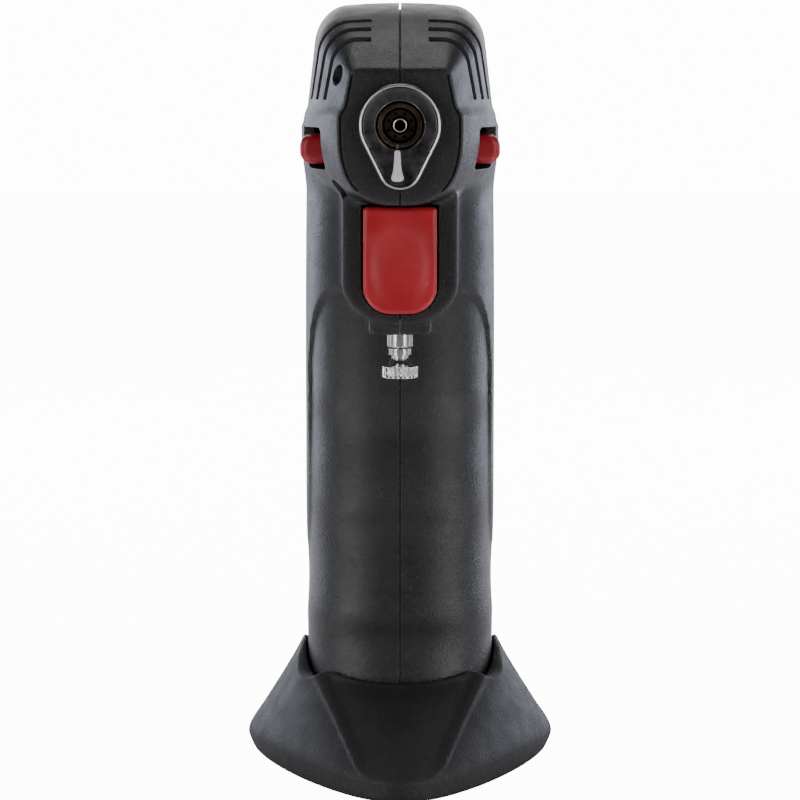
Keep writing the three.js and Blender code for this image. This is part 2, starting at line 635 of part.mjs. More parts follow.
function mainValveBody() {
  const { body, bottom, top, y } = VALVE;
  return union(bar("z", body, bottom, top, 0, y), bar("z", 5.2, 89.9, 91.4, 0, y, 6),
    bar("y", 1.1, -8, -1, 0, 93.4, 12))
    .subtract(bar("z", 2.5, 88, 95, 0, y))
    .subtract(bar("z", 1.4, 94, top + 1, 0, y, 14));
}

function valveStem() {
  return union(bar("z", 1.1, 88.6, 105.1, 0, VALVE.y, 14), bar("z", 2.1, 90.6, 91.6, 0, VALVE.y, 16),
    bar("z", 2.4, 103.9, 105.1, 0, VALVE.y, 16));
}

const valveSpring = () => spring(1.8, 0.26, 2.4, 3, [0, VALVE.y, 92.2], "z");

function valveLever() {
  const { pivotY, z, low, high, tipY } = LEVER;
  return union(
    box(-3.5, 3.5, -10.2, pivotY, low, high),
    box(-TRIGGER.half, TRIGGER.half, tipY, tipY + 2, low, high),
    bar("x", 2.2, -3.5, 3.5, pivotY, z, 16),
  )
    .subtract(box(-1.5, 1.5, -3.2, 3.2, low - 1, high + 1))
    .subtract(bar("x", 1.3, -5, 5, pivotY, z, 14));
}

const leverPin = () => bar("x", 1, -6.3, 6.3, LEVER.pivotY, LEVER.z, 14);

function regulatorBlock() {
  return union(box(-5.2, 5.2, -35, -27.6, 98.1, 103), bar("y", 1.1, -28, -24, 0, 99.6, 12),
    bar("z", 1.0, 102, 105.4, 0, -29, 12))
    .subtract(bar("z", KNOB.spindle + GAP, 96, 101, 0, KNOB.y, 14));
}

const lowerHose = () => wire(route([0, -8.3, 93.4], [0, -11, 93.4], [0, -17, 96.5], [0, -21, 99.6],
  [0, -23.7, 99.6]), 1.3, 10, 14);
const upperHose = () => wire(route([0, -29, 105.7], [0.2, -28.9, 106.7], [3.2, -27.6, 107.7],
  [6.4, -25.6, 108.8],
  [6.8, -23, 112], [6.8, -20, 117], [6.8, -18.5, 122], [5.5, -16.5, 129], [2, -16.5, 134],
    [0, -19.2, 135], [0, -21.6, 135]),
1.0, 8, 30);
const pickupTube = () => bar("z", 1.4, 12.5, 77.6, 0, VALVE.y, 14).subtract(bar("z", 0.8, 12, 78, 0,
  VALVE.y, 10));

function refillValveBody() {
  return union(bar("z", REFILL.body, 5.6, 18, 0, REFILL.y), bar("z", 4.6, 5.6, 7.4, 0, REFILL.y, 6))
    .subtract(bar("z", 2.3, 7.4, 17, 0, REFILL.y))
    .subtract(bar("z", 1.2, 5, 8, 0, REFILL.y, 12));
}

const refillStem = () => bar("z", 0.9, 5.9, 13, 0, REFILL.y, 12).add(bar("z", 1.9, 8.2, 9.2, 0, REFILL.y,
  14));
const refillSpring = () => spring(1.5, 0.25, 6.6, 4, [0, REFILL.y, 9.8], "z");

function caseScrew(screw) {
  const seat = screw.seat - GAP;
  return bar("x", SCREW.head, seat - SCREW.headHeight, seat, screw.y, screw.z, 14)
    .add(bar("x", SCREW.shank, seat - 1, screw.tip, screw.y, screw.z, 8))
    .subtract(box(seat - 3, seat - 1.2, screw.y - SCREW.slot, screw.y + SCREW.slot, screw.z - 0.3,
      screw.z + 0.3))
    .subtract(box(seat - 3, seat - 1.2, screw.y - 0.3, screw.y + 0.3, screw.z - SCREW.slot,
      screw.z + SCREW.slot));
}

// ---------------------------------------------------------------- materials and assembly
const finish = (color, roughness, metalness) => new THREE.MeshStandardMaterial({ color, roughness,
  metalness });
const blackPlastic = finish(0x1c1c20, 0.55, 0);
const redPlastic = finish(0xa8141e, 0.45, 0);
const nickel = finish(0xc8c8c8, 0.15, 1);
const darkSteel = finish(0x4a484a, 0.35, 1);
const burntSteel = finish(0x2c2622, 0.5, 1);
const brass = finish(0xb08d4f, 0.3, 1);
const zincSteel = finish(0x9a9ca0, 0.4, 1);
const blackSteel = finish(0x1e1e20, 0.45, 1);
const springSteel = finish(0x8c8c90, 0.3, 1);
const ceramic = finish(0xd8d8da, 0.5, 0);
const tankNylon = finish(0x3a3a3e, 0.5, 0);
const igniterPlastic = finish(0x20242c, 0.5, 0);
const hoseRubber = finish(0x50514e, 0.6, 0);
const sealRubber = finish(0x141414, 0.8, 0);
const leadSilicone = finish(0xb8b2a4, 0.6, 0);

const torch = new THREE.Group();

function add(name, manifold, material) {
  const mesh = new THREE.Mesh(geometryOf(manifold), material);
  mesh.name = name;
  torch.add(mesh);
}

const casing = wholeCasing();
add("stand", stand(), blackPlastic);
add("casing_right", casing.intersect(halfSpace(-1)), blackPlastic);
add("casing_left", casing.intersect(halfSpace(1)), blackPlastic);
add("trigger", trigger(), redPlastic);
add("lock_slider", lockSlider(), redPlastic);
add("flame_knob", flameKnob(), nickel);
add("adjuster_bushing", adjusterBushing(), nickel);
add("regulator_block", regulatorBlock(), brass);
add("heat_shield", heatShield(), darkSteel);
add("burner_tube", burnerTube(), burntSteel);
add("flame_holder", flameHolder(), burntSteel);
add("gas_jet", gasJet(), zincSteel);
add("burner_holder", burnerHolder(), zincSteel);
add("electrode_insulator", electrodeInsulator(), ceramic);
add("electrode_tip", electrodeTip(), burntSteel);
add("igniter_body", igniterBody(), igniterPlastic);
add("igniter_plunger", igniterPlunger(), redPlastic);
add("igniter_spring", igniterSpring(), springSteel);
add("piezo_crystal", piezoCrystal(), ceramic);
add("igniter_lead", igniterLead(), leadSilicone);
add("tank_body", tankBody(), tankNylon);
add("tank_lid", tankLid(), tankNylon);
add("valve_seal", ringSeal(4.2, 0.5, 0, VALVE.y, 89.1), sealRubber);
add("main_valve_body", mainValveBody(), brass);
add("valve_stem", valveStem(), brass);
add("valve_spring", valveSpring(), springSteel);
add("valve_lever", valveLever(), zincSteel);
add("lever_pin", leverPin(), zincSteel);
add("lower_gas_hose", lowerHose(), hoseRubber);
add("upper_gas_hose", upperHose(), hoseRubber);
add("pickup_tube", pickupTube(), hoseRubber);
add("refill_valve_body", refillValveBody(), brass);
add("refill_valve_stem", refillStem(), brass);
add("refill_spring", refillSpring(), springSteel);
add("refill_seal", ringSeal(3.95, 0.45, 0, REFILL.y, 8.1), sealRubber);
SCREWS.forEach((screw, i) => add(`case_screw_${i + 1}`, caseScrew(screw), blackSteel));

export default torch;
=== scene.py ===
import json
import math

import bmesh
import bpy
import numpy as np
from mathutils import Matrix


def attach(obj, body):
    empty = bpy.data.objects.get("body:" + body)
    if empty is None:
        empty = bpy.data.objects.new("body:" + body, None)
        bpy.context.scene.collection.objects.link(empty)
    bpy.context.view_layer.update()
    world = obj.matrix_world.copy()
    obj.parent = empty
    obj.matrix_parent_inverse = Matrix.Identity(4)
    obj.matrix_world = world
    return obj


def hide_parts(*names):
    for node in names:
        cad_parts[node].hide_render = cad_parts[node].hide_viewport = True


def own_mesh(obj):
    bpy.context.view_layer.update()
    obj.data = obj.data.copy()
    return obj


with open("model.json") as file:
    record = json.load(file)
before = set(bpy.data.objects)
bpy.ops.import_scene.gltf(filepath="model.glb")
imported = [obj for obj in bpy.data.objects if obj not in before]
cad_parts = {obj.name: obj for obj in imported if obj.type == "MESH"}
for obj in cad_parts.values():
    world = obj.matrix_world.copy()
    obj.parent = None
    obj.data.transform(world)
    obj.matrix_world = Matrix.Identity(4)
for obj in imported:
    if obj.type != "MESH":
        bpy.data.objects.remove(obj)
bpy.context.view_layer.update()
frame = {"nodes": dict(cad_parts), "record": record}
MM = 0.001

# ------------------------------------------------------------ driving dimensions, in millimetres
HEIGHT = 160
WALL = 2.2
SEAM = 0.15
SEAM_TONGUE = 0.9
GAP = 0.3
MUZZLE_Y = -44
HEAD_MIDDLE_Z = 134
HEAD_BACK_HALF = 19.9
HEAD_BACK_Y = 35
BROW_LOW_Z = 136.4
BROW_HIGH_Z = 139.2
BURNER_Z = 135
BURNER_HOLE = 5
SHIELD_LOW_Z = 126.7
SHIELD_TOP_RADIUS = 8.3
SHIELD_LOW_RADIUS = 4.6
SHIELD_HOLE = 4.85
LEAD_HOLE = 1.7
ELECTRODE_X = -0.5
ELECTRODE_Y = -48
ELECTRODE_Z = 125.6
SHROUD_HALF = 11.67
SHROUD_FRONT = -38
SHROUD_BACK = -20
SHROUD_TOP = 121
SHROUD_ARC_Z = 103
SHROUD_ARC = 8.5
BOSS_HALF = 6.3
BOSS_FRONT = -37.2
BOSS_LOW = 92.65
BOSS_HIGH = 97.5
KNOB_Y = -32.2
KNOB_TEETH = 22
BUSHING_HOLE = 3.05
TRIGGER_HALF = 7.4
TRIGGER_FRONT = -42
TRIGGER_PLATE = 1.8
TRIGGER_LOW = 97.2
TRIGGER_HIGH = 118.6
TRIGGER_CORNER = 5.5
TRIGGER_GAP = 0.4
PAD_Y = -25.5
PAD_Z = 130
PAD_REACH = 20.4
CASE_BOTTOM = 5
REFILL_Y = -7
REFILL_HOLE = 5.5
STAND_LIP = 19.5
STAND_EAR = 4.5
STAND_HALF = 32.8
STAND_REACH = 53.3
STAND_BEAD = 1.0
STAND_DIP = 1.0
SOCKET_GAP = 0.4
SOCKET_FLOOR_HIGH = 4.7
SOCKET_FLOOR_LOW = 2.2
VENT_HALF = 0.8
VENT_PLACES = (-35, -31, -27)
GRIP_POWER = 2.8
SCALLOP_LOW = 11.5
SCALLOP_HIGH = 79.9
SCALLOP_PITCH = 22.8
SCALLOP_DEPTH = 1.5
SCALLOP_SKEW = 0.6
SCREW_SINK = 2.1
SCREW_SHANK_HOLE = 1.5
SCREW_POST = 3.6
LOW_SCREW_POST = 2.8
LOW_SCREW_Z = 121.9
# each screw's y and z, the x of the face its head is drawn down to, and its point's x
SCREWS = [(-38.9, 144.9, -8.6, 8), (-36.5, LOW_SCREW_Z, -6.8, 7), (22, 146, -11, 11),
          (20.5, 112, -11, 11), (20, 78, -11, 11), (19.2, 30, -11, 11)]


# ------------------------------------------------------------ small mathematics
def smooth(low, high, t):
    s = np.clip((t - low) / (high - low), 0, 1)
    return s * s * (3 - 2 * s)


def through(pairs):
    """A smooth curve through (place, value) pairs, flat beyond both ends."""
    place, value = np.array(pairs, float).T
    slope = np.gradient(value)
    slope[1:-1] = (value[2:] - value[:-2]) / (place[2:] - place[:-2])
    slope[0] = (value[1] - value[0]) / (place[1] - place[0])
    slope[-1] = (value[-1] - value[-2]) / (place[-1] - place[-2])

    def curve(at):
        at = np.clip(at, place[0], place[-1])
        i = np.clip(np.searchsorted(place, at, side="right") - 1, 0, len(place) - 2)
        h = place[i + 1] - place[i]
        s = (at - place[i]) / h
        return ((2 * s**3 - 3 * s**2 + 1) * value[i] + (s**3 - 2 * s**2 + s) * h * slope[i]
                + (3 * s**2 - 2 * s**3) * value[i + 1] + (s**3 - s**2) * h * slope[i + 1])

    return curve


def round_max(a, b, r):
    """Where both distances hold, with the edge between them rounded to radius r."""
    return np.minimum(np.maximum(a, b), -r) + np.hypot(np.maximum(a + r, 0), np.maximum(b + r, 0))


def blend_min(a, b, r):
    """Either shape, with the corner between them filled to about radius r."""
    h = np.clip(r - np.abs(a - b), 0, None) / r
    return np.minimum(a, b) - h * h * r / 4


def superellipse(u, v, a, b, n):
    """About the distance from a superellipse with half-axes a and b: below 0 inside it."""
    rho = (np.abs(u / a) ** n + np.abs(v / b) ** n) ** (1 / n)
    return np.hypot(u, v) * (1 - 1 / np.maximum(rho, 1e-6))


# ------------------------------------------------------------ the casing's form
grip_half = through([(5, 18.9), (9, 19.3), (20, 19.7), (40, 19.95), (60, 20.1), (97, 20.05), (135, 19.8)])
grip_back = through([(5, 21.5), (15, 22.5), (40, 25), (62, 26), (85, 25), (104, 24.6), (112, 25.4),
                     (118, 27.4), (124, 30.6), (130, 33.6), (135, 35)])
grip_front_line = through([(5, -24.6), (12, -25.8), (34.5, -26.3), (57, -26.6), (80, -27), (118, -26),
                           (135, -24)])
head_front_half = through([(-44, 12.3), (-40, 14.3), (-35, 16.4), (-31, 17.9), (-27, 19), (-22, 19.7),
                           (-10, 19.9)])
head_top = through([(-44, 146), (-40, 148.9), (-36, 151.5), (-32, 153.7), (-28, 155.6), (-22, 157.7),
                    (-14, 159.3), (-4, 160), (6, 159.6), (16, 157.2), (24, 152.8), (30, 147), (35, 140)])
head_bottom = through([(-44, 119), (-30, 118.4), (12, 118), (20, 120.5), (26, 125), (31, 129.5),
                       (35, 133.5)])
head_corner = through([(-44, 1), (-40, 2.4), (-35, 4.2), (-27, 5.2), (0, 5.5)])
head_draft = through([(-44, 0.2), (-35, 0.19), (-20, 0.12), (0, 0.11)])
head_step = through([(-44, 1.3), (-35, 1.1), (-25, 0.8)])
arch_half = through([(30, 21.4), (45, 20.3), (57, 19.8), (78, 19.5), (102, 19.5)])


def grip_front(z):
    """Each of the three finger scallops is deepest above its middle, and eases out below."""
    down = np.clip((SCALLOP_HIGH - z) / SCALLOP_PITCH, 0, 3) % 1
    skewed = down * (1 + SCALLOP_SKEW - SCALLOP_SKEW * down)
    depth = SCALLOP_DEPTH * np.sin(math.pi * skewed) ** 2
    return grip_front_line(z) + np.where(z > SCALLOP_LOW, depth, 0)


def grip_inset(x, y, z):
    """How far the grip's front is drawn in under an arch that springs from the shroud, and a fine crease."""
    arch_depth, crease_depth, crease_z = 0.75, 0.16, 38.8
    arch = superellipse(x, np.maximum(z - 57, 0), arch_half(z), 45.3, 6.1)
    crease = crease_depth * np.exp(-(((z - crease_z) / 0.75) ** 2))
    crease = crease * smooth(6.5, 1.5, np.abs(x)) * smooth(-15, -20, y)
    return arch_depth * smooth(0, 1.5, -arch) * smooth(8, -4, y) * smooth(30, 42, z) + crease


def grip_form(x, y, z):
    """Below 0 inside the grip, as every form here is inside its own part."""
    front = grip_front(z)
    back = grip_back(z)
    side = superellipse(x, y - (front + back) / 2, grip_half(z), (back - front) / 2, GRIP_POWER)
    side = side + grip_inset(x, y, z)
    return np.maximum(round_max(side, CASE_BOTTOM - z, 1.1), z - 133)


def head_form(x, y, z):
    back = HEAD_BACK_HALF * np.clip(1 - np.clip(y / HEAD_BACK_Y, 0, 1) ** 3, 1e-6, 1) ** (1 / 3)
    half = np.where(y <= 0, head_front_half(y), back)
    lower = superellipse(x, HEAD_MIDDLE_Z - z, half, HEAD_MIDDLE_Z - head_bottom(y), 2.6)
    step = head_step(y) * smooth(BROW_LOW_Z, BROW_HIGH_Z, z)
    flank = half - step - head_draft(y) * np.maximum(z - BROW_HIGH_Z, 0)
    top = np.minimum(head_top(y), HEIGHT) - (x / 16) ** 2 * smooth(-42, -20, y)
    upper = round_max((np.abs(x) - flank) * 0.98, (z - top) * 0.92, head_corner(y))
    section = np.where(z < HEAD_MIDDLE_Z, lower, upper)
    return np.maximum(round_max(section, MUZZLE_Y - y, 0.6), y - 34.6)


def shroud_form(x, y, z):
    arc = superellipse(x, z - SHROUD_ARC_Z, SHROUD_HALF, SHROUD_ARC, 2)
    outline = np.where(z > SHROUD_ARC_Z, np.abs(x) - SHROUD_HALF, arc)
    return np.maximum(round_max(outline, SHROUD_FRONT - y, 0.7), np.maximum(z - SHROUD_TOP, y - SHROUD_BACK))


def boss_form(x, y, z):
    side = round_max(np.abs(x) - BOSS_HALF, BOSS_LOW - z, 1.0)
    return np.maximum(round_max(side, BOSS_FRONT - y, 0.5), np.maximum(z - BOSS_HIGH, y + 22))


def casing_form(x, y, z):
    """The whole outside, with a rounded corner wherever two of its parts meet."""
    body = blend_min(head_form(x, y, z), grip_form(x, y, z), 4.5)
    body = blend_min(body, shroud_form(x, y, z), 1.6)
    return blend_min(body, boss_form(x, y, z), 0.8)


def hollow_form(x, y, z):
    """The parts of the casing that are hollow inside."""
    body = np.minimum(head_form(x, y, z), grip_form(x, y, z))
    return np.minimum(body, shroud_form(x, y, z))


def half_form(x, y, z):
    """The +X half and a little more, which is cut back to the parting plane."""
    return np.maximum(casing_form(x, y, z), -1 - x)


def cavity_form(x, y, z):
    return np.maximum(hollow_form(x, y, z) + WALL, -2 - x)


# ------------------------------------------------------------ meshes from forms
def gradient(form, p):
    step = 0.04
    slopes = []
    for axis in range(3):
        shift = np.zeros(3)
        shift[axis] = step
        slopes.append((form(*(p + shift).T) - form(*(p - shift).T)) / (2 * step))
    return np.stack(slopes, axis=1)


def pull_to_surface(form, p, rounds=3):
    """Moves each point down or up the form's slope until the form is 0 there."""
    for _ in range(rounds):
        slope = gradient(form, p)
        size = np.maximum((slope**2).sum(axis=1), 0.05)
        move = (form(*p.T) / size)[:, None] * slope
        p = p - np.clip(move, -0.4, 0.4)
    return p


def even_out(form, p, quads):
    """Each point moves towards the middle of its neighbours, then back to the surface, three times."""
    a = quads.ravel()
    b = np.roll(quads, -1, axis=1).ravel()
    for _ in range(3):
        total = np.zeros_like(p)
        count = np.zeros(len(p))
        for one, other in ((a, b), (b, a)):
            np.add.at(total, one, p[other])
            np.add.at(count, one, 1)
        p = pull_to_surface(form, p + 0.5 * (total / count[:, None] - p), 2)
    return p


def edge_crossings(values):
    """The mean place, inside each cell, where the surface crosses the cell's edges."""
    corners = np.array([(i, j, k) for i in (0, 1) for j in (0, 1) for k in (0, 1)], float)
    total = np.zeros((values.shape[1], 3))
    count = np.zeros(values.shape[1])
    for a in range(8):
        for b in range(a + 1, 8):
            if np.abs(corners[a] - corners[b]).sum() != 1:
                continue
            crossed = (values[a] < 0) != (values[b] < 0)
            t = np.where(crossed, values[a] / np.where(crossed, values[a] - values[b], 1), 0)
            total += np.where(crossed[:, None], corners[a] + t[:, None] * (corners[b] - corners[a]), 0)
            count += crossed
    return total / count[:, None]


def surface_of(form, low, high, step):
    """Points and quads where the form is zero: one point in each cell that the surface passes through."""
    axes = [np.arange(a, b + step, step) for a, b in zip(low, high)]
    value = form(*np.meshgrid(*axes, indexing="ij"))
    inside = value < 0
    count = np.zeros(np.array(value.shape) - 1, int)
    shifts = [(i, j, k) for i in (0, 1) for j in (0, 1) for k in (0, 1)]
    for i, j, k in shifts:
        count += inside[i:i + count.shape[0], j:j + count.shape[1], k:k + count.shape[2]]
    cells = np.argwhere((count > 0) & (count < 8))
    number = np.full(count.shape, -1)
    number[tuple(cells.T)] = np.arange(len(cells))
    corner_values = np.stack([value[tuple((cells + s).T)] for s in shifts])
    points = np.array(low) + (cells + edge_crossings(corner_values)) * step
    quads = []
    for axis in range(3):
        along = [slice(1, -1)] * 3
        along[axis] = slice(0, -1)
        ahead = list(along)
        ahead[axis] = slice(1, None)
        start, end = inside[tuple(along)], inside[tuple(ahead)]
        at = np.argwhere(start != end) + np.array([0 if k == axis else 1 for k in range(3)])
        flip = end[start != end]
        u, v = np.eye(3, dtype=int)[(axis + 1) % 3], np.eye(3, dtype=int)[(axis + 2) % 3]
        around = [number[tuple((at - s).T)] for s in (u + v, v, 0 * u, u)]
        quad = np.stack(around, axis=1)
        quad[flip] = quad[flip][:, ::-1]
        quads.append(quad)
    quads = np.concatenate(quads)
    points = pull_to_surface(form, points)
    return even_out(form, points, quads), quads


def new_object(name, points, faces):
    """A mesh object from points in millimetres."""
    mesh = bpy.data.meshes.new(name)
    mesh.from_pydata((np.asarray(points) * MM).tolist(), [], [tuple(f) for f in faces])
    mesh.validate()
    obj = bpy.data.objects.new(name, mesh)
    bpy.context.scene.collection.objects.link(obj)
    return obj


def from_form(name, form, low, high, step):
    points, quads = surface_of(form, low, high, step)
    return new_object(name, points, quads.tolist())


# ------------------------------------------------------------ meshes from rings and outlines
def from_rings(name, rings, loop=False):
    """A skin over rings of points. A loop joins the last ring to the first; otherwise both ends close."""
    rings = np.asarray(rings, float)
    rows, count = rings.shape[:2]
    points = rings.reshape(-1, 3)
    faces = []
    for r in range(rows if loop else rows - 1):
        for i in range(count):
            a, b = r * count + i, r * count + (i + 1) % count
            above = ((r + 1) % rows) * count
            faces.append((a, b, above + (i + 1) % count, above + i))
    if not loop:
        points = np.vstack([points, rings[0].mean(axis=0), rings[-1].mean(axis=0)])
        last = (rows - 1) * count
        for i in range(count):
            j = (i + 1) % count
            faces.append((rows * count, j, i))
            faces.append((rows * count + 1, last + i, last + j))
    obj = new_object(name, points, faces)
    turn_out(obj)
    return obj


def turn_out(obj):
    """Makes every face look outwards."""
    work = bmesh.new()
    work.from_mesh(obj.data)
    bmesh.ops.recalc_face_normals(work, faces=work.faces)
    work.to_mesh(obj.data)
    work.free()


def placed(axis, u, v, along):
    """Points from two crosswise coordinates and one along the axis."""
    columns = {"x": (along, u, v), "y": (u, along, v), "z": (u, v, along)}[axis]
    return np.stack(np.broadcast_arrays(*columns), axis=-1)


def turned(name, profile, axis, u, v, count, loop=False, swell=None):
    """A turned piece with count sides from (radius, place along the axis) pairs. swell changes the radius
    by angle."""
    angle = np.linspace(0, 2 * math.pi, count, endpoint=False)
    rings = []
    for radius, along in profile:
        r = radius + (swell(angle, along) if swell else 0)
        rings.append(placed(axis, u + r * np.cos(angle), v + r * np.sin(angle), along))
    return from_rings(name, rings, loop)


def prism(name, outline, axis, low, high):
    """A cutter or bar: an outline of (u, v) points carried along an axis."""
    u, v = np.array(outline, float).T
    return from_rings(name, [placed(axis, u, v, low), placed(axis, u, v, high)])


def circle(radius, u, v, count=48):
    angle = np.linspace(0, 2 * math.pi, count, endpoint=False)
    return np.stack([u + radius * np.cos(angle), v + radius * np.sin(angle)], axis=1)


def rounded_box(u0, u1, v0, v1, r, steps=6):
    """A rectangle's outline with round corners."""
    corners = [(u1 - r, v1 - r, 0), (u0 + r, v1 - r, 90), (u0 + r, v0 + r, 180), (u1 - r, v0 + r, 270)]
    turns = np.linspace(0, 90, steps)
    return [(u + r * math.cos(math.radians(start + t)), v + r * math.sin(math.radians(start + t)))
            for u, v, start in corners for t in turns]


def combine(obj, other, operation="DIFFERENCE"):
    """Cuts, joins or crosses obj with other, which is used up."""
    change = obj.modifiers.new("combine", "BOOLEAN")
    change.operation = operation
    change.solver = "MANIFOLD"
    change.object = other
    depsgraph = bpy.context.evaluated_depsgraph_get()
    mesh = bpy.data.meshes.new_from_object(obj.evaluated_get(depsgraph))
    obj.modifiers.clear()
    obj.data = mesh
    bpy.data.objects.remove(other)


def soften(obj, angle):
    """Gives obj back with smooth shading, except across edges sharper than the angle in degrees."""
    obj.data.shade_smooth()
    obj.data.set_sharp_from_angle(angle=math.radians(angle))
    return obj


def copied(obj, name):
    copy = obj.copy()
    copy.data = obj.data.copy()
    copy.name = name
    bpy.context.scene.collection.objects.link(copy)
    return copy


def mirror(obj):
    """Turns a piece on the +X side into one on the -X side."""
    work = bmesh.new()
    work.from_mesh(obj.data)
    for v in work.verts:
        v.co.x = -v.co.x
    bmesh.ops.reverse_faces(work, faces=work.faces)
    work.to_mesh(obj.data)
    work.free()


# ------------------------------------------------------------ casing
def trigger_outline(grow):
    """The trigger's outline from the front, with round lower corners."""
    half, corner = TRIGGER_HALF + grow, TRIGGER_CORNER + grow
    low, top = TRIGGER_LOW - grow, TRIGGER_HIGH + grow
    turns = np.radians(np.linspace(0, 90, 10))
    right = [(half - corner + corner * math.sin(t), low + corner - corner * math.cos(t)) for t in turns]
    left = [(-u, v) for u, v in reversed(right)]
    return left + right + [(half, top), (-half, top)]


def vent_cutters():
    """Three slots on each side that run out over the brow and down the flank."""
    cutters = []
    for y in VENT_PLACES:
        side = rounded_box(5.8, 30, 140, 166, VENT_HALF)
        cutters.append(prism("vent", side, "y", y - VENT_HALF, y + VENT_HALF))
    return cutters


def muzzle_half(z):
    """Half-width of the muzzle's flat face at a height."""
    low, high = 0.0, 20.0
    for _ in range(30):
        middle = (low + high) / 2
        value = head_form(*(np.array([t]) for t in (middle, MUZZLE_Y + 0.7, z)))[0]
        low, high = (middle, high) if value < 0 else (low, middle)
    return low


def muzzle_groove():
    """The fine gap that runs down the side of the muzzle's face, just inside its edge."""
    heights = np.linspace(144.9, 121.9, 60)
    outer = [(muzzle_half(z) - 0.55, z) for z in heights]
    inner = [(u - 0.45, z) for u, z in reversed(outer)]
    return prism("groove", outer + inner, "y", MUZZLE_Y - 1, MUZZLE_Y + 0.6)


def seam_core(depth, low, high):
    """A slab, from x = low to x = high, of the space that lies deeper than depth inside the casing."""
    def form(x, y, z):
        return np.maximum(hollow_form(x, y, z) + depth, np.maximum(low - x, x - high))

    return from_form("seam_core", form, (low - 1.8, -44, 5), (high + 1.8, 36, 161), 0.9)


def hollow():
    """The space inside both walls, less the screw posts that stand in it."""
    cavity = from_form("cavity", cavity_form, (-4.3, -44, 5), (19.5, 35, 160), 1.1)
    for y, z, _, _ in SCREWS:
        radius = LOW_SCREW_POST if z == LOW_SCREW_Z else SCREW_POST
        combine(cavity, prism("post", circle(radius, y, z), "x", -4, 30))
    return cavity


def cut_openings(half):
    """The vents, the muzzle's joint, and the holes for what passes through the casing."""
    front, inside = MUZZLE_Y - 1, MUZZLE_Y + WALL + 1
    slider_window = rounded_box(-36, -19, 125.9, 134.4, 1.4)
    for cutter in vent_cutters():
        combine(half, cutter)
    combine(half, muzzle_groove())
    combine(half, prism("opening", trigger_outline(TRIGGER_GAP), "y", -45, SHROUD_FRONT + WALL + 1))
    combine(half, prism("burner_hole", circle(BURNER_HOLE, 0, BURNER_Z, 64), "y", front, inside))
    combine(half, prism("lead_hole", circle(LEAD_HOLE, ELECTRODE_X, 126), "y", front, inside))
    combine(half, prism("bushing_hole", circle(BUSHING_HOLE, 0, KNOB_Y), "z", BOSS_LOW - 2, BOSS_HIGH + 1))
    combine(half, prism("slot", slider_window, "x", 5, 30))
    combine(half, prism("refill_hole", circle(REFILL_HOLE, 0, REFILL_Y), "z", 3, CASE_BOTTOM + WALL + 1))


def casing_halves():
    """Both halves, on the +X side. The first has a tongue on its inner edge, the second a recess for it."""
    tongued = from_form("casing_left_shell", half_form, (-2.3, -46, 3.5), (21.5, 36.5, 162), 0.62)
    combine(tongued, prism("seam", rounded_box(SEAM, 40, -60, 60, 1, 3), "z", -5, 170), "INTERSECT")
    recessed = copied(tongued, "casing_right_shell")
    cavity = hollow()
    tongue_depth, recess_depth = 1.25, 1.1
    combine(tongued, seam_core(tongue_depth, -SEAM_TONGUE, 1.2), "UNION")
    combine(recessed, seam_core(recess_depth, -1.5, SEAM_TONGUE + SEAM))
    combine(tongued, copied(cavity, "cavity_copy"))
    combine(recessed, cavity)
    cut_openings(tongued)
    cut_openings(recessed)
    return tongued, recessed


def screw_holes(shell, side):
    """The -X side has a recess for each head; the +X side only takes the threads."""
    for y, z, seat, tip in SCREWS:
        bore = circle(SCREW_SHANK_HOLE, y, z, 24)
        if side < 0:
            combine(shell, prism("sink", circle(SCREW_SINK, y, z), "x", -30, seat))
            combine(shell, prism("shank", bore, "x", seat - 1, 1))
        else:
            combine(shell, prism("shank", bore, "x", -1, tip + 1))


def casing_shells():
    left, right = casing_halves()
    mirror(right)
    screw_holes(left, 1)
    screw_holes(right, -1)
    return soften(left, 32), soften(right, 32)


# ------------------------------------------------------------ stand
stand_half = through([(0, 31.3), (2, 32.3), (3.8, 32.8), (6, 32.1), (9.9, 29.5), (15.8, 25.7),
                      (20, 23.1), (24, 20.9)])
stand_front = through([(0, -53.2), (3.8, -53.3), (6, -51.2), (9.9, -44.6), (15.8, -34.2), (19.5, -28.2),
                       (24, -27.6)])
stand_back = through([(0, 53.2), (3.8, 53.3), (6, 51), (9.9, 43.8), (15.8, 32.2), (19.5, 25.6), (24, 24.8)])
stand_power = through([(3.8, 1.31), (10, 1.6), (15.8, 2.1), (20, 2.6), (24, 2.8)])
stand_tip = through([(3.8, 9), (10, 7), (15.8, 3), (20, 0.5)])
RING_POINTS = 480
ANGLES = (np.arange(RING_POINTS) + 0.5) * 2 * math.pi / RING_POINTS


def wide_ellipse(half, front, back, n, tip, grow):
    """A superellipse widened by its tip's radius, with points crowded towards its ends."""
    a, b = half - tip, (back - front) / 2 - tip
    crowd = np.maximum(1, n / (2 * (n - 1)))
    c = np.cos(ANGLES) ** 2
    share = c**crowd / (c**crowd + (1 - c) ** crowd)
    u, v = share ** (1 / n), (1 - share) ** (1 / n)
    nx, ny = u ** (n - 1) / a, v ** (n - 1) / b
    out = (tip + grow) / np.hypot(nx, ny)
    x = np.sign(np.cos(ANGLES)) * (a * u + out * nx)
    y = np.sign(np.sin(ANGLES)) * (b * v + out * ny)
    return x, (front + back) / 2 + y


def stand_ring(z, grow):
    """The stand's outline at a height, grown outwards."""
    z = np.broadcast_to(np.asarray(z, float), ANGLES.shape)
    half = np.minimum(stand_half(z), STAND_HALF)
    front = np.maximum(stand_front(z), -STAND_REACH)
    back = np.minimum(stand_back(z), STAND_REACH)
    x, y = wide_ellipse(half, front, back, stand_power(z), stand_tip(z), grow)
    return np.stack([x, y, z], axis=1)


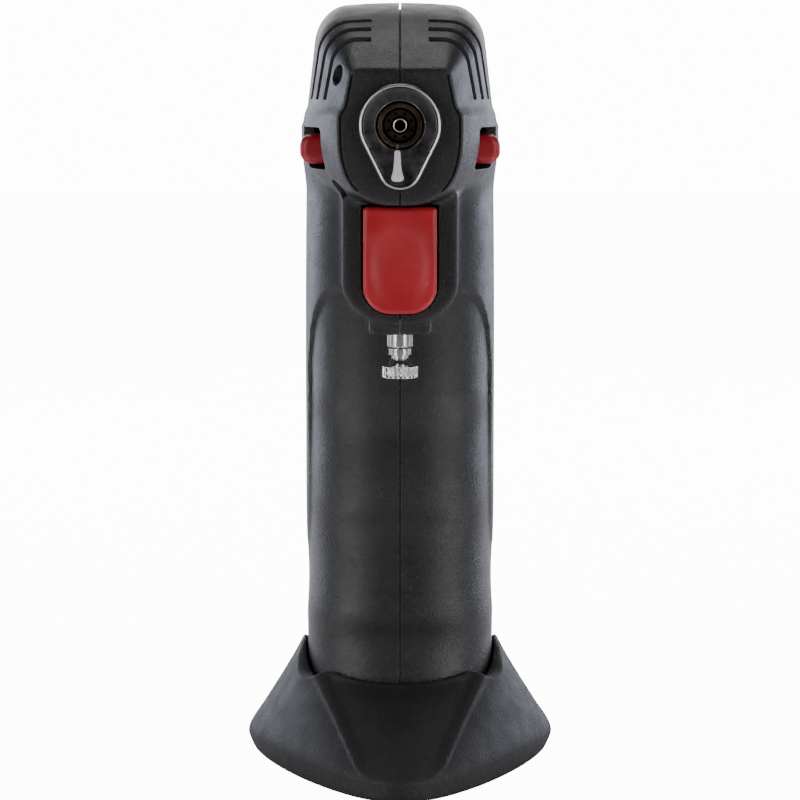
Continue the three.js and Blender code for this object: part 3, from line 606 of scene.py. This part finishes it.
def socket_ring(z, grow):
    """The grip's own outline at a height, grown outwards."""
    z = np.broadcast_to(np.asarray(z, float), ANGLES.shape)
    x, y = wide_ellipse(grip_half(z), grip_front(z), grip_back(z), GRIP_POWER + 0 * z, 0 * z, grow)
    return np.stack([x, y, z], axis=1)


def stand_relief(ring):
    """How far the front face stands out: two beads, and a tongue between them that is drawn in."""
    x, y, z = np.abs(ring[:, 0]), ring[:, 1], ring[:, 2]
    bead_x = 7.7 + 8.9 * (z - 5.4) / 13.8
    front = smooth(-15, -22, y)
    width = 0.75 + 0.55 * smooth(9, 19, z)
    bead = STAND_BEAD * np.exp(-(((x - bead_x) / width) ** 2)) * smooth(4.4, 6.4, z)
    tongue = STAND_DIP * smooth(0, 1.4, bead_x - x - 0.5) * smooth(4.4, 9.5, z)
    return front * (bead - tongue)


def stand_lip():
    """The height of the lip all round: high beside the grip, with an arc across the front."""
    across, deep = stand_ring(21.5, 0)[:, :2].T
    across = np.abs(across)
    corner = 1.7 * (np.minimum(across, 15.5) / 15.5) ** 2 * smooth(19, 15.5, across) - 0.4
    corner = corner * smooth(-12, -17, deep)
    return STAND_LIP + STAND_EAR * smooth(20, 2, np.abs(deep)) + corner


def stand_outside(top):
    """Rings from the foot's rounded edge up to the lip."""
    foot = 0.4
    rings = [stand_ring(0, -0.4), stand_ring(0.12, -0.12), stand_ring(foot, 0)]
    for k in np.linspace(0.02, 1, 64):
        z = foot + (top - foot) * k
        rings.append(stand_ring(z, stand_relief(stand_ring(z, 0))))
    return rings


def stand_rounding(outer, inner, height):
    """Rings over the lip, from its outer edge to its inner one."""
    rings = []
    for s in (0.06, 0.18, 0.35, 0.5, 0.65, 0.82, 0.94):
        ring = outer + (inner - outer) * s
        ring[:, 2] += height * math.sin(math.pi * s) ** 0.6
        rings.append(ring)
    return rings


def stand_inside(top):
    """Rings down the socket, in over its ledge, and back out and down under the skirt."""
    rings = [socket_ring(top, SOCKET_GAP)]
    for k in np.linspace(0.08, 1, 10):
        rings.append(socket_ring(top * (1 - k) + SOCKET_FLOOR_HIGH * k, SOCKET_GAP))
    ledge = socket_ring(5, -5)
    for z in (SOCKET_FLOOR_HIGH, SOCKET_FLOOR_LOW):
        rings.append(np.column_stack([ledge[:, :2], np.full(len(ledge), z)]))
    rings += [socket_ring(z, 2.4) for z in (SOCKET_FLOOR_LOW, 6, 10, 13)]
    rings += [stand_ring(z, -2) for z in (13, 11, 9, 7, 5, 3, 1)]
    return rings + [stand_ring(0.3, -2.3), stand_ring(0, -2.6)]


def stand_shell():
    round_lip = 0.45
    top = stand_lip() - round_lip
    outside = stand_outside(top)
    inside = stand_inside(top)
    rings = outside + stand_rounding(outside[-1], inside[0], round_lip) + inside
    return soften(from_rings("stand_shell", rings, loop=True), 38)


# ------------------------------------------------------------ trigger, slider, knob
def trigger_edge(x, z):
    """Distance inside or outside the trigger's outline from the front."""
    corner_x, corner_z = 1.9, 102.7
    side = np.abs(x)
    corner = np.hypot(np.maximum(side - corner_x, 0), np.minimum(z - corner_z, 0)) - TRIGGER_CORNER
    outline = np.where(z < corner_z, corner, side - TRIGGER_HALF)
    return round_max(outline, z - TRIGGER_HIGH, 0.8)


def trigger_plate(x, y, z):
    """The face that the finger pulls, with a shallow dish in it."""
    front = TRIGGER_FRONT + 0.5 * smooth(112, 119, z)
    plate = round_max(trigger_edge(x, z), front - y, 0.9)
    plate = np.maximum(plate, y - (TRIGGER_FRONT + TRIGGER_PLATE))
    across, deep, up = x / 6.3, (y - TRIGGER_FRONT + 0.4) / 1.45, (z - 106.8) / 9.6
    dish = (np.sqrt(across**2 + deep**2 + up**2) - 1) * 1.4
    return -blend_min(-plate, dish, 0.5)


def trigger_arms(x, y, z):
    """An arm on each side, whose ramp lifts the valve's lever."""
    arm = np.maximum(np.abs(np.abs(x) - 6.65) - 0.75, np.maximum(-41 - y, y + 10))
    arm = np.maximum(arm, np.where(y > -34.5, 99.6, 101.2) - z)
    ramp = np.interp(y, [-33.01, -33, -20, -17, -10], [103.2, 101.7, 101.7, 103.2, 101.1])
    return np.maximum(arm, z - ramp)


def trigger_form(x, y, z):
    """The plate, a skirt behind its edge, the arms, and the post that pushes the igniter's plunger."""
    inner = np.abs(trigger_edge(x, z) + 0.75) - 0.75
    skirt = np.maximum(inner, np.maximum(102.5 - z, np.maximum(-41 - y, y + 33)))
    post = np.maximum(np.abs(x) - 2.6, np.maximum(np.abs(z - 112.5) - 2.5, np.maximum(-41 - y, y + 31.3)))
    shell = np.minimum(trigger_plate(x, y, z), skirt)
    return np.minimum(shell, np.minimum(trigger_arms(x, y, z), post))


def trigger_cap():
    return soften(from_form("trigger_cap", trigger_form, (-8, -42.6, 96.6), (8, -9.4, 119.2), 0.3), 40)


def slider_form(x, y, z):
    """A red pad and an inner upright on each side, joined by a crossbar."""
    side = np.abs(x)
    pad = round_max(np.abs(z - PAD_Z) - 3, side - PAD_REACH, 2.5)
    pad = round_max(pad, np.abs(y - PAD_Y) - 5.5, 1.6)
    pad = np.maximum(pad, 10.6 - side)
    upright = np.maximum(np.abs(y + 24.75) - 3.75, np.abs(z - 128.4) - 4.2)
    upright = np.maximum(np.abs(side - 10.7) - 0.9, upright)
    bar = np.maximum(np.abs(y - PAD_Y) - 2.5, np.maximum(np.abs(z - 125.1) - 0.9, side - 11.6))
    return np.minimum(np.minimum(pad, upright), bar)


def lock_slider():
    low, high = (-21.3, -31.6, 123.6), (21.3, -19.4, 133.6)
    return soften(from_form("lock_slider_pads", slider_form, low, high, 0.35), 40)


def knurl(angle, height):
    """Rounded teeth round the knob's rim, cut a little on the slant."""
    rim_low, rim_middle, rim_high, depth = 83.7, 84.8, 85.9, 0.5
    if not rim_low < height < rim_high:
        return np.zeros_like(angle)
    slant = 0.03 * (height - rim_middle)
    return -depth * np.abs(np.sin(KNOB_TEETH / 2 * (angle + slant))) ** 4


def flame_knob():
    """The knurled rim, a tapered neck, a collar just below the bushing, and the spindle."""
    profile = [(1.6, 83.42), (2.5, 83.4), (3.25, 83.45), (3.55, 83.62), (3.67, 83.85), (3.67, 84.3),
               (3.67, 84.8), (3.67, 85.3), (3.67, 85.75), (3.6, 85.92), (3.3, 86.05), (3.1, 86.15),
               (2.4, 86.9), (1.9, 87.5), (1.8, 87.65), (1.8, 88.1), (1.9, 88.2), (2.34, 88.22),
               (2.44, 88.32), (2.44, 89.5), (2.36, 89.6), (1.3, 89.62), (1.2, 89.7), (1.2, 99.9)]
    return soften(turned("flame_knob_turned", profile, "z", 0, KNOB_Y, 264, swell=knurl), 30)


def bushing():
    profile = [(1.5, 89.95), (1.6, 89.9), (2.6, 89.9), (2.75, 90.05), (2.75, 91.9), (2.75, 96.8),
               (2.65, 96.9), (1.5, 96.9)]
    return soften(turned("adjuster_bushing_turned", profile, "z", 0, KNOB_Y, 96, loop=True), 30)


# ------------------------------------------------------------ burner and ignition
def shield_radius(angle, grow):
    """Distance from the burner's axis to the teardrop's edge: a big circle drawn in to a small low one."""
    big, small, drop = SHIELD_TOP_RADIUS + grow, SHIELD_LOW_RADIUS + grow, BURNER_Z - SHIELD_LOW_Z
    lean = math.asin((big - small) / drop)
    s, c = np.sin(angle), np.cos(angle)
    line = big / (np.abs(c) * math.cos(lean) - s * math.sin(lean)).clip(1e-3)
    inside_root = np.clip(small**2 - (drop * c) ** 2, 0, None)
    low = -drop * s + np.sqrt(inside_root)
    tangent_low = (-drop - small * math.sin(lean)) / (small * math.cos(lean))
    steep = s / np.maximum(np.abs(c), 1e-6)
    return np.where(s > -math.sin(lean), big, np.where(steep < tangent_low, low, line))


def shield_ring(angle, grow, y, mix=0.0):
    """mix 0 is the teardrop's outline, and mix 1 the round hole."""
    radius = shield_radius(angle, grow) * (1 - mix) + SHIELD_HOLE * mix
    return placed("y", radius * np.cos(angle), BURNER_Z + radius * np.sin(angle), y)


def heat_shield():
    """A pressed plate with a rolled edge and a round hole for the burner."""
    angle = np.linspace(0, 2 * math.pi, 240, endpoint=False)
    rows = [(0, -44.35), (0, -45.5), (0, -46.3), (-0.08, -46.62), (-0.25, -46.82), (-0.45, -46.88),
            (-0.65, -46.8), (-0.8, -46.6), (-0.95, -46.42), (-1.2, -46.34)]
    rings = [shield_ring(angle, grow, y) for grow, y in rows]
    rings += [shield_ring(angle, -1.2, -46.34 + 0.12 * m, m) for m in (0.35, 0.7, 0.93)]
    rings += [shield_ring(angle, -1.2, -46.12, 1), shield_ring(angle, -1.2, -45.7, 1)]
    rings += [shield_ring(angle, -1.2, -45.6, 0.9), shield_ring(angle, -0.85, -45.6)]
    rings += [shield_ring(angle, -0.8, -45.5), shield_ring(angle, -0.8, -44.3)]
    rings += [shield_ring(angle, -0.1, -44.3)]
    shield = from_rings("heat_shield_pressed", rings, loop=True)
    combine(shield, prism("sleeve_hole", circle(1.15, ELECTRODE_X, ELECTRODE_Z), "y", -48, -44))
    return soften(shield, 30)


def burner_tube():
    """An open tube with a rolled front edge."""
    profile = [(3.5, -46.0), (3.6, -46.15), (4.0, -46.2), (4.35, -46.14), (4.5, -45.9), (4.5, -31.1),
               (4.4, -31), (3.6, -31), (3.5, -31.1)]
    return soften(turned("burner_tube_turned", profile, "y", 0, BURNER_Z, 96, loop=True), 30)


def flame_holder():
    """A disc with eight small ports around the jet."""
    profile = [(1.75, -43.5), (1.85, -43.6), (3.05, -43.6), (3.2, -43.45), (3.2, -42.7), (3.1, -42.6),
               (1.75, -42.6)]
    disc = turned("flame_holder_drilled", profile, "y", 0, BURNER_Z, 96, loop=True)
    port_circle, port_radius = 2.45, 0.3
    for i in range(8):
        angle = math.pi * (i + 0.5) / 4
        u, v = port_circle * math.cos(angle), BURNER_Z + port_circle * math.sin(angle)
        combine(disc, prism("port", circle(port_radius, u, v, 20), "y", -46, -41))
    return soften(disc, 30)


def gas_jet():
    """A bored nozzle with a round flange, and a spigot for the hose behind."""
    profile = [(1.1, -32), (1.1, -45.4), (1.15, -45.55), (1.22, -45.6), (1.33, -45.55), (1.4, -45.4),
               (1.4, -30.5), (2.6, -30.4), (2.6, -27.1), (1.4, -27), (1.4, -25.1), (1.0, -25), (1.0, -22)]
    return soften(turned("gas_jet_turned", profile, "y", 0, BURNER_Z, 72), 30)


def electrode():
    """The white sleeve comes through the shield and flares into a stem that stands up its face."""
    sleeve = [(0.5, -48.2), (0.85, -48.1), (0.95, -47.8), (0.95, -38)]
    sleeve = turned("electrode_sleeve", sleeve, "y", ELECTRODE_X, ELECTRODE_Z, 48)
    stem = [(0.5, 123.95), (0.95, 124.1), (1.2, 124.4), (1.24, 124.8), (1.08, 125.4), (0.88, 126.2),
            (0.73, 127.2), (0.65, 128.4), (0.57, 129.6), (0.52, 130), (0.35, 130.15)]
    combine(sleeve, turned("stem", stem, "z", ELECTRODE_X, ELECTRODE_Y, 48), "UNION")
    return soften(sleeve, 40)


def electrode_wire():
    profile = [(0.3, 130.4), (0.3, 131.2), (0.2, 131.4)]
    return soften(turned("electrode_wire", profile, "z", ELECTRODE_X, ELECTRODE_Y, 32), 40)


def case_screw(number, y, z, seat, tip):
    """A round head with a cross recess, and a plain shank."""
    face = seat - GAP
    profile = [(1.1, face - 2), (1.5, face - 1.85), (1.75, face - 1.4), (1.8, face - 1), (1.8, face),
               (1.1, face), (1.1, tip - 1), (0.6, tip)]
    screw = turned(f"case_screw_{number}_turned", profile, "x", y, z, 48)
    long, short = 1.05, 0.25
    for u, v in ((long, short), (short, long)):
        arm = rounded_box(y - u, y + u, z - v, z + v, 0.2, 3)
        combine(screw, prism("cross", arm, "x", face - 3, face - 1))
    return soften(screw, 30)


# ------------------------------------------------------------ materials
def start_material(name):
    material = bpy.data.materials.new(name)
    material.use_nodes = True
    tree = material.node_tree
    shader = next(n for n in tree.nodes if n.type == "BSDF_PRINCIPLED")
    coords = tree.nodes.new("ShaderNodeTexCoord").outputs["Object"]
    return material, tree, shader, coords


def noise(tree, coords, scale, detail):
    node = tree.nodes.new("ShaderNodeTexNoise")
    node.inputs["Scale"].default_value = scale
    node.inputs["Detail"].default_value = detail
    tree.links.new(coords, node.inputs["Vector"])
    return node.outputs["Fac"]


def pits(tree, coords, scale):
    node = tree.nodes.new("ShaderNodeTexVoronoi")
    node.inputs["Scale"].default_value = scale
    tree.links.new(coords, node.inputs["Vector"])
    return node.outputs["Distance"]


def spread(tree, value, low, high, to_low, to_high):
    """Maps low to high onto to_low to to_high, and holds still beyond them."""
    node = tree.nodes.new("ShaderNodeMapRange")
    for name, number in zip(("From Min", "From Max", "To Min", "To Max"), (low, high, to_low, to_high)):
        node.inputs[name].default_value = number
    tree.links.new(value, node.inputs["Value"])
    return node.outputs["Result"]


def mix_colours(tree, amount, first, second):
    """second over first by amount; each is a colour or another node's output."""
    node = tree.nodes.new("ShaderNodeMix")
    node.data_type = "RGBA"
    tree.links.new(amount, node.inputs[0])
    for socket, colour in ((node.inputs[6], first), (node.inputs[7], second)):
        if isinstance(colour, tuple):
            socket.default_value = (*colour, 1)
        else:
            tree.links.new(colour, socket)
    return node.outputs[2]


def bump(tree, height, strength, depth, under):
    """Relief on top of another normal. depth is in metres."""
    node = tree.nodes.new("ShaderNodeBump")
    node.inputs["Strength"].default_value = strength
    node.inputs["Distance"].default_value = depth
    tree.links.new(height, node.inputs["Height"])
    tree.links.new(under, node.inputs["Normal"])
    return node.outputs["Normal"]


def edges(tree):
    """About 1 along convex edges and 0 on flat ground."""
    geometry = tree.nodes.new("ShaderNodeNewGeometry")
    return spread(tree, geometry.outputs["Pointiness"], 0.52, 0.62, 0, 1)


def worn_edge_normal(tree, radius):
    """Rounds every sharp edge by eye. The radius is in metres."""
    node = tree.nodes.new("ShaderNodeBevel")
    node.samples = 4
    node.inputs["Radius"].default_value = radius
    return node.outputs["Normal"]


def ramp_along(tree, coords, axis, low, high):
    """0 up to low on an axis, rising to 1 at high, in millimetres."""
    split = tree.nodes.new("ShaderNodeSeparateXYZ")
    tree.links.new(coords, split.inputs[0])
    return spread(tree, split.outputs[axis], low * MM, high * MM, 0, 1)


def moulded(name, dark, light, edge, roughness, grain=2600, depth=0.00014, strength=0.8,
            edge_radius=0.0003, gloss=0.5, satin=None):
    """Plastic with a spark-eroded grain, faint patches of tone and rubbed edges.
    satin is the roughness of the part below the grip's arch, where hands have smoothed it."""
    material, tree, shader, coords = start_material(name)
    shader.inputs["Specular IOR Level"].default_value = gloss
    patches = noise(tree, coords, 70, 4)
    speckle = noise(tree, coords, grain, 2)
    tone = mix_colours(tree, spread(tree, patches, 0.35, 0.65, 0, 1), dark, light)
    tone = mix_colours(tree, spread(tree, speckle, 0.55, 0.75, 0, 0.16), tone, edge)
    tone = mix_colours(tree, spread(tree, edges(tree), 0, 1, 0, 0.6), tone, edge)
    tree.links.new(tone, shader.inputs["Base Color"])
    blotches = noise(tree, coords, 240, 3)
    rough = spread(tree, blotches, 0.3, 0.7, roughness - 0.05, roughness + 0.06)
    if satin:
        smoothed = spread(tree, blotches, 0.3, 0.7, satin - 0.03, satin + 0.04)
        rough = mix_colours(tree, ramp_along(tree, coords, "Z", 78, 92), smoothed, rough)
    tree.links.new(rough, shader.inputs["Roughness"])
    normal = worn_edge_normal(tree, edge_radius)
    normal = bump(tree, pits(tree, coords, grain * 1.2), strength * 0.6, depth, normal)
    normal = bump(tree, speckle, strength, depth, normal)
    tree.links.new(normal, shader.inputs["Normal"])
    return material


def worked_metal(name, dark, light, roughness, axis="z", rings=2500, strength=0.08, stain=None, tip=None):
    """Metal with fine turning or rolling lines across an axis, uneven polish and, on hot parts, a stain.
    tip is the y where a painted highlight, bright in colour and smooth, starts on its forward edge, and the y
    where it is full."""
    material, tree, shader, coords = start_material(name)
    shader.inputs["Metallic"].default_value = 1
    patches = noise(tree, coords, 180, 4)
    tone = mix_colours(tree, spread(tree, patches, 0.35, 0.65, 0, 1), dark, light)
    tone = mix_colours(tree, spread(tree, edges(tree), 0, 1, 0, 0.5), tone, light)
    if stain:
        stained = spread(tree, noise(tree, coords, 260, 4), 0.45, 0.75, 0, 0.35)
        tone = mix_colours(tree, stained, tone, stain)
    rough = spread(tree, noise(tree, coords, 700, 3), 0.3, 0.7, roughness * 0.75, roughness * 1.3)
    if tip:
        # painted highlight: from tip's first y forward the colour turns a bright 0.85 grey and the roughness
        # drops to 0.3
        painted_rim_highlight = ramp_along(tree, coords, "Y", tip[0], tip[1])
        tone = mix_colours(tree, painted_rim_highlight, tone, (0.85, 0.85, 0.86))
        rough = mix_colours(tree, painted_rim_highlight, rough, (0.3, 0.3, 0.3))
    tree.links.new(tone, shader.inputs["Base Color"])
    tree.links.new(rough, shader.inputs["Roughness"])
    lines = tree.nodes.new("ShaderNodeTexWave")
    lines.bands_direction = axis.upper()
    lines.inputs["Scale"].default_value = rings
    lines.inputs["Distortion"].default_value = 1.5
    lines.inputs["Detail"].default_value = 2
    tree.links.new(coords, lines.inputs["Vector"])
    normal = bump(tree, lines.outputs["Fac"], strength, 0.00002, worn_edge_normal(tree, 0.00015))
    normal = bump(tree, patches, strength, 0.00004, normal)
    tree.links.new(normal, shader.inputs["Normal"])
    return material


def jet_material():
    """Nickel, sooted all over, with a painted highlight on the rim of its mouth."""
    return worked_metal("sooted_jet", (0.03, 0.027, 0.025), (0.06, 0.055, 0.05), 0.4, "y", 2200, 0.1,
                        tip=(-45.3, -45.45))


def hard_plastics():
    return {
        "casing_plastic": moulded("black_casing", (0.007, 0.0075, 0.009), (0.012, 0.0125, 0.015),
                                  (0.05, 0.052, 0.06), 0.42, satin=0.31),
        "stand_plastic": moulded("black_stand", (0.008, 0.008, 0.009), (0.013, 0.013, 0.015),
                                 (0.05, 0.05, 0.056), 0.6, grain=2000, gloss=0.42),
        "red_plastic": moulded("red_satin", (0.35, 0.012, 0.02), (0.46, 0.02, 0.03), (0.6, 0.06, 0.065),
                               0.36, grain=2200, depth=0.00003, strength=0.2),
        "ceramic": moulded("fired_ceramic", (0.62, 0.6, 0.61), (0.74, 0.72, 0.73), (0.9, 0.9, 0.9), 0.32,
                           grain=2600, depth=0.00001, strength=0.15, edge_radius=0.0001),
        "tank_nylon": moulded("tank_nylon", (0.05, 0.05, 0.055), (0.08, 0.08, 0.085),
                              (0.15, 0.15, 0.16), 0.4, 900),
        "igniter_plastic": moulded("igniter_plastic", (0.02, 0.024, 0.035), (0.04, 0.045, 0.06),
                                   (0.1, 0.1, 0.12), 0.4, 1200),
    }


def rubbers():
    return {
        "hose_rubber": moulded("hose_rubber", (0.09, 0.09, 0.085), (0.14, 0.14, 0.13),
                               (0.2, 0.2, 0.19), 0.5, 900),
        "seal_rubber": moulded("seal_rubber", (0.01, 0.01, 0.01), (0.02, 0.02, 0.02),
                               (0.05, 0.05, 0.05), 0.6, 900),
        "lead_silicone": moulded("lead_silicone", (0.4, 0.37, 0.32), (0.5, 0.47, 0.42),
                                 (0.6, 0.58, 0.52), 0.5, 900),
    }


def metals():
    return {
        "bright_nickel": worked_metal("bright_nickel", (0.72, 0.72, 0.71), (0.88, 0.88, 0.87), 0.11),
        # the heat shield's steel: its rolled rim, from y -46.79 to -46.87 mm, gets a painted highlight
        "dark_steel": worked_metal("dark_pressed_steel", (0.085, 0.08, 0.085), (0.13, 0.125, 0.13), 0.34,
                                   "x", 900, 0.02, (0.1, 0.09, 0.09), (-46.79, -46.87)),
        "burnt_steel": worked_metal("heat_darkened_steel", (0.05, 0.036, 0.026), (0.11, 0.085, 0.06), 0.38,
                                    "y", 2200, 0.15, (0.02, 0.015, 0.012)),
        "black_steel": worked_metal("black_oxide_steel", (0.03, 0.03, 0.033), (0.07, 0.07, 0.075), 0.35,
                                    "x", 1800, 0.1),
        "zinc_steel": worked_metal("zinc_plated_steel", (0.42, 0.43, 0.45), (0.62, 0.62, 0.63), 0.3,
                                   "x", 1800, 0.1),
        "spring_steel": worked_metal("spring_wire", (0.35, 0.35, 0.37), (0.5, 0.5, 0.52), 0.28,
                                     "z", 3000, 0.1),
        "brass": worked_metal("machined_brass", (0.5, 0.33, 0.12), (0.72, 0.52, 0.24), 0.24, "y", 2400, 0.1),
    }


def all_materials():
    """One material for each material slot of the record."""
    return {**hard_plastics(), **rubbers(), **metals()}


# ------------------------------------------------------------ camera, light and floor
CAMERA_PLACE = (0, -0.665, 0.146)
CAMERA_DROP = 6.05
CAMERA_LENS = 140.3
LIGHTS_AIM = (0, 0, 0.1)


def add_camera():
    """In front of the burner, a little above the middle, tilted down."""
    data = bpy.data.cameras.new("camera")
    data.lens = CAMERA_LENS
    data.sensor_width = 36
    camera = bpy.data.objects.new("camera", data)
    camera.location = CAMERA_PLACE
    camera.rotation_euler = (math.radians(90 - CAMERA_DROP), 0, 0)
    bpy.context.scene.collection.objects.link(camera)
    bpy.context.scene.camera = camera


def softbox(name, place, size, power, tint=(1, 1, 1)):
    """A soft light that looks at the torch. Its place and size are in metres."""
    data = bpy.data.lights.new(name, "AREA")
    data.shape = "RECTANGLE"
    data.size, data.size_y = size
    data.energy = power
    data.color = tint
    light = bpy.data.objects.new(name, data)
    light.location = place
    light.visible_camera = False
    aim = np.array(LIGHTS_AIM) - np.array(place)
    flat = math.hypot(aim[0], aim[1])
    light.rotation_euler = (math.atan2(flat, -aim[2]), 0, math.atan2(aim[1], aim[0]) - math.pi / 2)
    bpy.context.scene.collection.objects.link(light)


def add_lights():
    """Boxes behind and beside edge the dark plastic. In front, a box on each side fills it, a low card lights
    the stand's front, a tall strip shows in the nickel, and a small glint picks out the finger scallops."""
    cool = (0.82, 0.86, 1)
    warm = (1, 0.96, 0.9)
    for side in (-1, 1):
        softbox(f"back_{side}", (side * 0.5, 0.55, 0.19), (0.4, 0.3), 2.2, cool)
        softbox(f"side_{side}", (side * 0.75, -0.02, 0.25), (0.2, 0.4), 0.8, cool)
        softbox(f"front_{side}", (side * 0.55, -0.6, 0.42), (0.22, 0.3), 1.3, warm)
        softbox(f"card_{side}", (side * 0.1, -0.085, 0.004), (0.06, 0.05), 0.06, warm)
        softbox(f"strip_{side}", (side * 0.5, -0.42, 0.12), (0.05, 0.35), 0.16)
        softbox(f"glint_{side}", (side * 0.42, -0.55, 0.1), (0.1, 0.06), 0.35)
    softbox("top", (0, 0.25, 0.8), (0.6, 0.4), 2.4)
    softbox("rim", (0, 1.0, 0.4), (0.9, 0.3), 4)


def add_world():
    """White where the camera looks past the object, and dim as a light on it."""
    world = bpy.data.worlds.new("studio")
    world.use_nodes = True
    tree = world.node_tree
    background = next(n for n in tree.nodes if n.type == "BACKGROUND")
    rays = tree.nodes.new("ShaderNodeLightPath")
    tone = mix_colours(tree, rays.outputs["Is Camera Ray"], (0.04, 0.041, 0.045), (14, 14, 14))
    tree.links.new(tone, background.inputs["Color"])
    bpy.context.scene.world = world


def add_floor():
    """A pale disc that looks white to the camera and doesn't light the torch more than paper would."""
    floor_depth = 0.00005
    mesh = bpy.data.meshes.new("floor")
    work = bmesh.new()
    bmesh.ops.create_circle(work, cap_ends=True, segments=96, radius=3)
    work.to_mesh(mesh)
    work.free()
    floor = bpy.data.objects.new("floor", mesh)
    floor.location.z = -floor_depth
    bpy.context.scene.collection.objects.link(floor)
    material, tree, shader, coords = start_material("pale_floor")
    tone = mix_colours(tree, noise(tree, coords, 6, 3), (0.78, 0.78, 0.78), (0.82, 0.82, 0.82))
    tree.links.new(tone, shader.inputs["Base Color"])
    shader.inputs["Roughness"].default_value = 0.8
    shader.inputs["Emission Color"].default_value = (1, 1, 1, 1)
    rays = tree.nodes.new("ShaderNodeLightPath")
    glow = spread(tree, rays.outputs["Is Camera Ray"], 0, 1, 0, 13)
    tree.links.new(glow, shader.inputs["Emission Strength"])
    floor.data.materials.append(material)


# ------------------------------------------------------------ springs
# the node, the joint that shortens it and by how much, the radius of its coil and of its wire, its length,
# its turns, its first end and its axis
SPRINGS = (
    ("igniter_spring", "trigger_pull", 4.5, 2.1, 0.3, 15.4, 6, (0, -14.7, 112.5), "y"),
    ("valve_spring", "trigger_pull", 0.72, 1.8, 0.26, 2.4, 3, (0, 0, 92.2), "z"),
    ("refill_spring", "refill_press", 1.5, 1.5, 0.25, 6.6, 4, (0, -7, 9.8), "z"),
)


def wound_wire(name, radius, gauge, length, turns, start, axis):
    """Round wire wound along an axis from its first end."""
    steps_per_turn, wire_sides = 28, 12
    angle = np.linspace(0, 2 * math.pi * turns, turns * steps_per_turn + 1)[:, None]
    side = np.linspace(0, 2 * math.pi, wire_sides, endpoint=False)
    climb = length / (2 * math.pi * turns)
    slope = math.hypot(radius, climb)
    reach = radius + gauge * np.cos(side)
    lift = gauge * np.sin(side) / slope
    u = reach * np.cos(angle) + lift * climb * np.sin(angle)
    v = reach * np.sin(angle) - lift * climb * np.cos(angle)
    return from_rings(name, placed(axis, u, v, climb * angle + lift * radius) + start)


def add_springs(materials):
    """Winds each spring's coil and puts it in its node's place; nothing here shortens it as its joint moves.
    """
    for node, joint, travel, radius, gauge, length, turns, start, axis in SPRINGS:
        piece = soften(wound_wire(node + "_coil", radius, gauge, length, turns, start, axis), 50)
        stand_for(piece, node, "torch", materials)
        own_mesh(piece)


# ------------------------------------------------------------ assembly
def slot_of(node):
    return next(s["material_slot"] for s in frame["record"]["subparts"] if s["node"] == node)


def stand_for(piece, node, body, materials):
    """The piece takes the node's place, its body and its material."""
    piece.data.materials.clear()
    piece.data.materials.append(materials[slot_of(node)])
    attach(piece, body)
    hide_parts(node)


def finish_cad_nodes(materials):
    """The inside parts keep the CAD's shapes and get detailed materials."""
    for name, obj in frame["nodes"].items():
        obj.data.materials.clear()
        obj.data.materials.append(materials[slot_of(name)])


def main():
    add_camera()
    add_world()
    add_lights()
    add_floor()
    materials = all_materials()
    finish_cad_nodes(materials)
    left, right = casing_shells()
    stand_for(left, "casing_left", "torch", materials)
    stand_for(right, "casing_right", "torch", materials)
    stand_for(stand_shell(), "stand", "stand", materials)
    stand_for(trigger_cap(), "trigger", "trigger", materials)
    stand_for(lock_slider(), "lock_slider", "lock_slider", materials)
    stand_for(flame_knob(), "flame_knob", "flame_knob", materials)
    stand_for(bushing(), "adjuster_bushing", "torch", materials)
    stand_for(heat_shield(), "heat_shield", "torch", materials)
    stand_for(burner_tube(), "burner_tube", "torch", materials)
    stand_for(flame_holder(), "flame_holder", "torch", materials)
    jet = gas_jet()
    stand_for(jet, "gas_jet", "torch", materials)
    jet.data.materials[0] = jet_material()
    stand_for(electrode(), "electrode_insulator", "torch", materials)
    stand_for(electrode_wire(), "electrode_tip", "torch", materials)
    for number, place in enumerate(SCREWS, 1):
        stand_for(case_screw(number, *place), f"case_screw_{number}", "torch", materials)
    add_springs(materials)


main()
